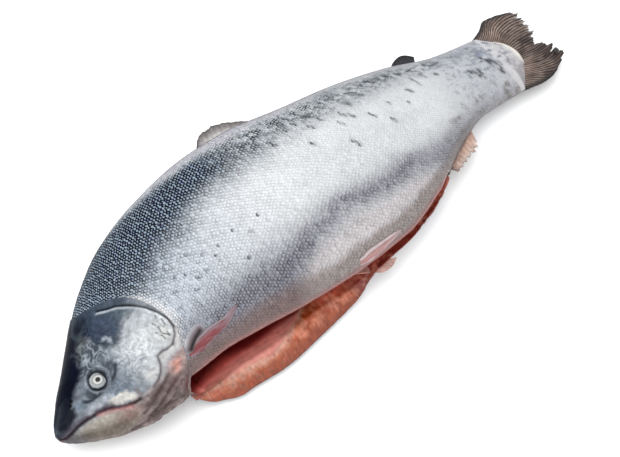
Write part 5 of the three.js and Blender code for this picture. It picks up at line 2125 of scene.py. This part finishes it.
@dataclass
class TailFin:
    """The worn tail fin, fanned a little, with a ragged edge, a bite and a curled scrap."""

    form: FishForm
    root: float = 0.985
    root_bow: float = 0.02
    thickness: float = 4.6
    edge: float = 1.3
    droop: float = 6.0
    ray_count: int = 30
    bite: float = -0.53
    bite_depth: float = 0.019
    reach: SizeCurve = SizeCurve(
        (-1, -0.75, -0.45, -0.2, 0, 0.3, 0.66, 1), (0.106, 0.128, 0.125, 0.115, 0.104, 0.113, 0.117, 0.115)
    )
    back_width: SizeCurve = SizeCurve((0, 0.3, 0.5, 0.72, 1), (36, 43, 50.5, 49, 44))
    belly_width: SizeCurve = SizeCurve((0, 0.3, 0.5, 0.72, 1), (38, 41.5, 43.5, 42.5, 34))

    def middle(self, u: Array, w: Array) -> Array:
        """Points of the middle surface.

        Args:
            u: 0 at the root, 1 at the edge.
            w: -1 on the belly side, 1 on the back side.

        Returns:
            Positions in millimetres, last axis 3.
        """
        width = np.where(w > 0, self.back_width.at(u), self.belly_width.at(u))
        ragged = 0.0028 * np.sin(31 * w) + 0.002 * np.sin(53 * w + 1)
        torn = ramp(w, 0.05, 0.5) + 0.35
        ragged = ragged + torn * (0.0016 * np.sin(127 * w) + 0.0022 * np.abs(np.sin(83 * w + 2)) - 0.001)
        ragged = ragged - self.bite_depth * bell(w, self.bite, 0.062) - 0.006 * bell(w, 0.02, 0.05)
        s = self.root + self.root_bow * (1 - w * w) * (1 - u) + (self.reach.at(w) + ragged * u) * u
        z = self.form.axis_height.at(1.0) - self.droop * u * u + 0.7 * np.sin(w * 9) * u * (1 - 0.4 * u)
        return self.form.place(s, w * width, z)

    def fan(self, u: Array) -> Array:
        """Return how far the rays have spread, from root to edge."""
        return 0.66 + 0.34 * ramp(u, 0.0, 1.0)

    def shades(self, u: Array, w: Array, mid: Array) -> Array:
        """Colours of the membrane.

        Args:
            u: Root to edge.
            w: Belly side to back side.
            mid: Points of the middle surface.

        Returns:
            Linear colours.
        """
        skin = Painter(mid.shape[:-1], (132, 114, 105))
        mottle = layered_cloud(mid, 9.0, 95, 4)
        skin.lay(ramp(mottle + 0 * u, 0.0, 0.7), (104, 86, 78), 0.7)
        skin.lay(ramp(-mottle + 0 * u, 0.1, 0.8), (160, 140, 128), 0.5)
        skin.lay(ramp(u + 0.25 * mottle + 0 * w, 0.1, 0.9) * ramp(-w, -0.2, 0.4), (72, 56, 53), 0.85)
        skin.lay(ramp(u + 0.3 * mottle, 0.5, 0.9) * bell(w, 0.12, 0.16), (58, 48, 46), 0.8)
        skin.lay(ramp(u + 0 * w, 0.88, 0.98) * ramp(w, 0.0, 0.3), (178, 172, 166), 0.6)
        skin.lay(ramp(u + 0 * w, 0.93, 1.0) * ramp(-w, 0.0, 0.2), (34, 30, 30), 0.85)
        skin.lay(ramp(np.abs(w + 0 * u), 0.86, 0.97), (42, 38, 38), 0.85)
        streak = 0.5 - 0.5 * np.cos(np.pi * w / self.fan(u) * self.ray_count)
        fine = layered_cloud(mid * np.array([0.5, 1.6, 1.0]), 2.6, 97)
        dark = np.clip(streak**1.4 * (1.1 + 0.6 * fine) * ramp(u, 0.02, 0.14), 0, 0.96)
        return skin.colour * (1 - dark)[..., None] * (1 + 0.22 * fine)[..., None]

    def scrap(self) -> tuple[Array, Array]:
        """Form of the scrap of fin that curls up beside the bite.

        Returns:
            Its two faces as grids of positions in millimetres.
        """
        turn = np.linspace(0, 1, 16)[:, None]
        along = np.linspace(-1, 1, 8)[None, :]
        angle = 4.6 * turn
        radius = 2.7 - 0.8 * turn
        y = -21.5 - 3.4 * np.sin(angle) * radius / 2.4 + 0.6 * along
        x = 1.0995 + (along * 2.4 + (1 - np.cos(angle)) * radius * 0.5) / self.form.length
        z = 14.5 + (1 - np.cos(angle)) * radius * 0.9
        mid = self.form.place(x, y, z)
        out = grid_normals(mid)
        return mid + out * 0.45, mid - out * 0.45

    def build(self, membrane: bpy.types.Material) -> list[bpy.types.Object]:
        """Build the membrane, its rays and the curled scrap.

        Args:
            membrane: Material of the fin.

        Returns:
            Membrane, rays and scrap.
        """
        u = np.linspace(0, 1, 50)[:, None]
        w = np.linspace(-1, 1, 300)[None, :]
        mid = self.middle(u, w)
        out = grid_normals(mid)
        half = blend_values(self.thickness, self.edge, u**0.7) / 2
        wave = 0.26 * np.cos(np.pi * w / self.fan(u) * self.ray_count) * ramp(u, 0.1, 0.3)
        taper = (1 - np.abs(w) ** 12) * 0.8 + 0.2
        top = mid + out * (half * taper + wave)[..., None]
        under = mid - out * (half * taper - wave)[..., None]
        sheet = sheet_piece("tail_fin", top, under, self.shades(u, w, mid))
        lines, radii, tints = [], [], []
        for k in range(self.ray_count):
            at = -0.97 + 1.94 * (k + 0.5) / self.ray_count
            uu = np.linspace(0.1, 0.975, 16)
            spread = (at + 0.012 * np.sin(5.0 * k) * uu) * self.fan(uu)
            line = self.middle(uu, spread)
            line[:, 2] += blend_values(self.thickness, self.edge, uu**0.7) * 0.42
            lines.append(line)
            radii.append(blend_values(0.6, 0.34, uu))
            shade = self.shades(uu[:, None], spread[:, None], line[:, None, :])[:, 0]
            tints.append(shade * 1.75)
        rays = FinRays("tail_fin_rays", lines, radii, tints).build(membrane)
        upper, lower = self.scrap()
        dark = Painter(upper.shape[:-1], (58, 54, 54))
        dark.lay(
            np.broadcast_to(ramp(np.linspace(-1, 1, 8), 0.3, 0.9), upper.shape[:-1]), (176, 174, 172),
            0.8
        )
        curl = sheet_piece("tail_fin_scrap", upper, lower, dark.colour)
        return [sheet, rays, curl]


@dataclass
class FoldedFin:
    """A paired fin that lies folded along the flank."""

    form: FishForm
    name: str
    stations: tuple[float, ...]
    angles: tuple[float, ...]
    width: float
    rise: float
    core: Colour
    rim: Colour
    upper: Colour
    ribs: int = 5
    blunt: float = 2.2

    def build(self) -> bpy.types.Object:
        """Build the fin as a ribbed closed blade.

        Returns:
            The finished piece.
        """
        rows, columns = 96, 48
        u = np.linspace(0, 1, rows)
        order = np.linspace(0, 1, len(self.stations))
        s = SizeCurve(tuple(order), self.stations).at(u)
        d = SizeCurve(tuple(order), self.angles).at(u)
        line = self.form.place(s, *self.form.oval(s, d))
        up = unit(self.form.place(s, *self.form.oval(s, d, 1.0)) - line)
        across = np.cross(up, unit(np.gradient(line, axis=0)))
        v = np.linspace(-1, 1, columns)[None, :]
        uu = u[:, None]
        half = (
            self.width / 2 * (1 - uu**self.blunt) ** 0.7 * blend_values(0.55, 1.0, ramp(uu, 0, 0.3)) + 0.35
        )
        ribs = 0.4 * np.abs(np.sin(np.pi * (v + 1) * self.ribs / 2)) * (1 - 0.5 * uu)
        body = self.rise * ramp(uu, -0.02, 0.14) * (0.35 + 0.65 * np.sqrt(np.clip(1 - v * v, 0, 1)))
        ledge = 0.8 * np.exp(-(((v - 0.84) / 0.13) ** 2)) * (1 - uu)
        height = body * blend_values(0.8, 0.45, uu) + ribs + ledge
        base = line[:, None, :] + across[:, None, :] * (half * v)[..., None]
        top = base + up[:, None, :] * height[..., None]
        under = base - up[:, None, :] * 3.0
        fin = Painter((rows, columns), self.core)
        streaks = layered_cloud(top * np.array([0.35, 1.6, 1.6]), 3.2, 99)
        fin.lay(ramp(np.abs(v) + 0.3 * streaks + 0 * uu, 0.35, 0.85), self.rim, 0.85)
        fin.lay(ramp(uu + 0.2 * streaks + 0 * v, 0.5, 0.95), self.rim, 0.9)
        fin.lay(bell(v, 0.84, 0.16) * (1 - ramp(uu, 0.75, 1.0)), self.upper, 0.85)
        tint = fin.colour * (1 + 0.22 * streaks[..., None])
        return sheet_piece(self.name, top, under, tint)


@dataclass
class Studio:
    """Floor, lights and camera."""

    azimuth: float = -42.93
    elevation: float = 62.0
    distance: float = 1.26
    focal_pixels: float = 1351.13
    frame_pixels: tuple[int, int] = (620, 457)
    shift_pixels: tuple[float, float] = (-50.67, 12.37)
    target: tuple[float, float, float] = (-0.06096, -0.00937, 0.03)
    lamp_place: tuple[float, float, float] = (-0.5, 0.5, 1.9)
    lamp_size: float = 2.6
    lamp_power: float = 40.0
    sky_colour: tuple[float, float, float, float] = (0.98, 0.99, 1.0, 1)
    sky_strength: float = 1.25

    def floor(self) -> None:
        """Lay the plain floor."""
        bpy.ops.mesh.primitive_plane_add(size=6.0, location=(0, 0, 0))
        floor = bpy.context.object
        floor.name = "floor"
        floor.data.materials.append(FloorFinish().build())

    def area(self, name: str, place: Vector, size: float, power: float) -> None:
        """Hang a soft square light that faces the fish.

        Args:
            name: Name of the light.
            place: Where it hangs, in metres.
            size: Side length in metres.
            power: Power in watts.
        """
        data = bpy.data.lights.new(name, "AREA")
        data.shape = "SQUARE"
        data.size = size
        data.energy = power
        lamp = bpy.data.objects.new(name, data)
        lamp.location = place
        lamp.rotation_euler = (Vector(self.target) - place).to_track_quat("-Z", "Y").to_euler()
        bpy.context.scene.collection.objects.link(lamp)

    def lights(self) -> None:
        """Hang the lights and set the pale surroundings."""
        self.area("soft_top", Vector(self.lamp_place), self.lamp_size, self.lamp_power)
        world = bpy.data.worlds.new("pale_surroundings")
        world.use_nodes = True
        sky = world.node_tree.nodes["Background"]
        sky.inputs["Color"].default_value = self.sky_colour
        sky.inputs["Strength"].default_value = self.sky_strength
        bpy.context.scene.world = world
        bpy.context.scene.view_settings.view_transform = "Standard"

    def camera(self) -> None:
        """Set the camera at the photograph's viewing angle."""
        az, el = math.radians(self.azimuth), math.radians(self.elevation)
        back = Vector((math.sin(az) * math.cos(el), -math.cos(az) * math.cos(el), math.sin(el)))
        data = bpy.data.cameras.new("view")
        data.sensor_width = 36.0
        data.lens = self.focal_pixels / self.frame_pixels[0] * data.sensor_width
        data.shift_x = -self.shift_pixels[0] / self.frame_pixels[0]
        data.shift_y = self.shift_pixels[1] / self.frame_pixels[0]
        eye = bpy.data.objects.new("view", data)
        eye.location = Vector(self.target) + back * self.distance
        eye.rotation_euler = back.to_track_quat("Z", "Y").to_euler()
        bpy.context.scene.collection.objects.link(eye)
        bpy.context.scene.camera = eye

    def build(self) -> None:
        """Set up the whole studio."""
        self.camera()
        self.floor()
        self.lights()


def make_fins(form: FishForm, membrane: bpy.types.Material, tender: bpy.types.Material) -> None:
    """Build every fin.

    Args:
        form: The body's form.
        membrane: Material of the dark fins.
        tender: Material of the pale fins.
    """
    standing = [
        (StandingFin(
            form, "back_fin", Side.BACK, 0.464, 0.59, 20, (0.022, 0.012), 12, 3.2, 1.4, 40,
            SizeCurve(FIN_PLACES, (0.45, 0.93, 1, 0.86, 0.64, 0.42, 0.12)),
            (206, 202, 200), (118, 112, 110), (52, 50, 54), ragged=0.05,
        ), membrane),
        (StandingFin(
            form, "fat_fin", Side.BACK, 0.826, 0.872, 8.4, (0.02, 0.014), 8, 4.2, 2, 30,
            SizeCurve(FIN_PLACES, (0.1, 0.45, 0.8, 0.95, 1, 0.92, 0.5)),
            (48, 48, 53), (16, 16, 19), (12, 12, 14), ray_count=6,
        ), membrane),
        (StandingFin(
            form, "vent_fin", Side.BELLY, 0.778, 0.868, 14, (0.012, -0.01), 8, 3, 1.4, 24,
            SizeCurve(FIN_PLACES, (0.25, 0.46, 0.66, 0.76, 0.88, 1, 0.95)),
            (204, 168, 152), (212, 190, 178), (130, 108, 102), ragged=0.24, ray_count=9,
        ), tender),
        (StandingFin(
            form, "belly_fin_right", Side.BELLY, 0.524, 0.556, 8.5, (0.03, 0.042), 9, 3, 1.4, 24,
            SizeCurve(FIN_PLACES, (0.3, 0.8, 1, 1, 0.95, 0.8, 0.5)),
            (212, 152, 138), (224, 188, 178), (200, 140, 126), ray_count=7,
        ), tender),
    ]
    for fin, material in standing:
        for piece in fin.build(material):
            register(piece, Slot.FIN, material)
    for piece in TailFin(form).build(membrane):
        register(piece, Slot.FIN, membrane)
    breast = FoldedFin(
        form, "breast_fin_left", (0.214, 0.245, 0.28, 0.318), (141, 143, 143, 135.5), 14, 2.6,
        (136, 70, 74), (136, 118, 125), (150, 140, 147),
    )
    belly = FoldedFin(
        form, "belly_fin_left", (0.522, 0.55, 0.58, 0.614), (166, 166, 165, 163), 13, 2.4,
        (186, 140, 138), (186, 168, 168), (200, 190, 191), blunt=1.6,
    )
    for fin in (breast, belly):
        register(fin.build(), Slot.FIN, tender)


def main() -> None:
    """Build the fish and its studio, and report each piece."""
    logging.basicConfig(level=logging.INFO, format="%(name)s: %(message)s")
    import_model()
    form = FishForm()
    zones = SkinZones(form)
    Studio().build()
    skin = WetFinish("silver_skin", 0.42, 0.2, metallic=0.1, coat=0.02, mottle=0.07, grain=0.08).build()
    scale = WetFinish(
        "silver_scales", 0.4, 0.2, metallic=0.12, coat=0.02, mottle=0.07, grain=0.08, painted_light_and_shade=True
    ).build()
    head_skin = WetFinish(
        "head_skin", 0.4, 0.25, metallic=0.06, specular=0.1, coat=0.04, mottle=0.1, grain=0.14,
        mottle_scale=180.0,
        bump=0.3,
    ).build()
    flesh = WetFinish(
        "moist_flesh", 0.4, 0.3, specular=0.35, coat=0.3, mottle=0.12, grain=0.16, mottle_scale=140.0,
        bump=0.4,
        subsurface=0.15, subsurface_radius=(0.003, 0.001, 0.0007),
    ).build()
    membrane = WetFinish(
        "dark_fin", 0.45, 0.3, coat=0.15, mottle=0.18, grain=0.25, mottle_scale=220.0
    ).build()
    tender = WetFinish(
        "pale_fin", 0.42, 0.3, coat=0.2, mottle=0.12, grain=0.18, mottle_scale=220.0, subsurface=0.15,
        subsurface_radius=(0.003, 0.001, 0.0007),
    ).build()
    register(TrunkSkin(form, zones).build(), Slot.SKIN, skin)
    for left in (True, False):
        register(ScaleField(form, zones, left).build(scale), Slot.SKIN, scale)
    register(Head(form).build(), Slot.SKIN, head_skin)
    wet_eye = EyeFinish().build()
    for left in (True, False):
        register(Eye(form, left).build(), Slot.EYE, wet_eye)
    register(Hollow(form).build(), Slot.FLESH, flesh)
    make_fins(form, membrane, tender)


if __name__ == "__main__":
    main()
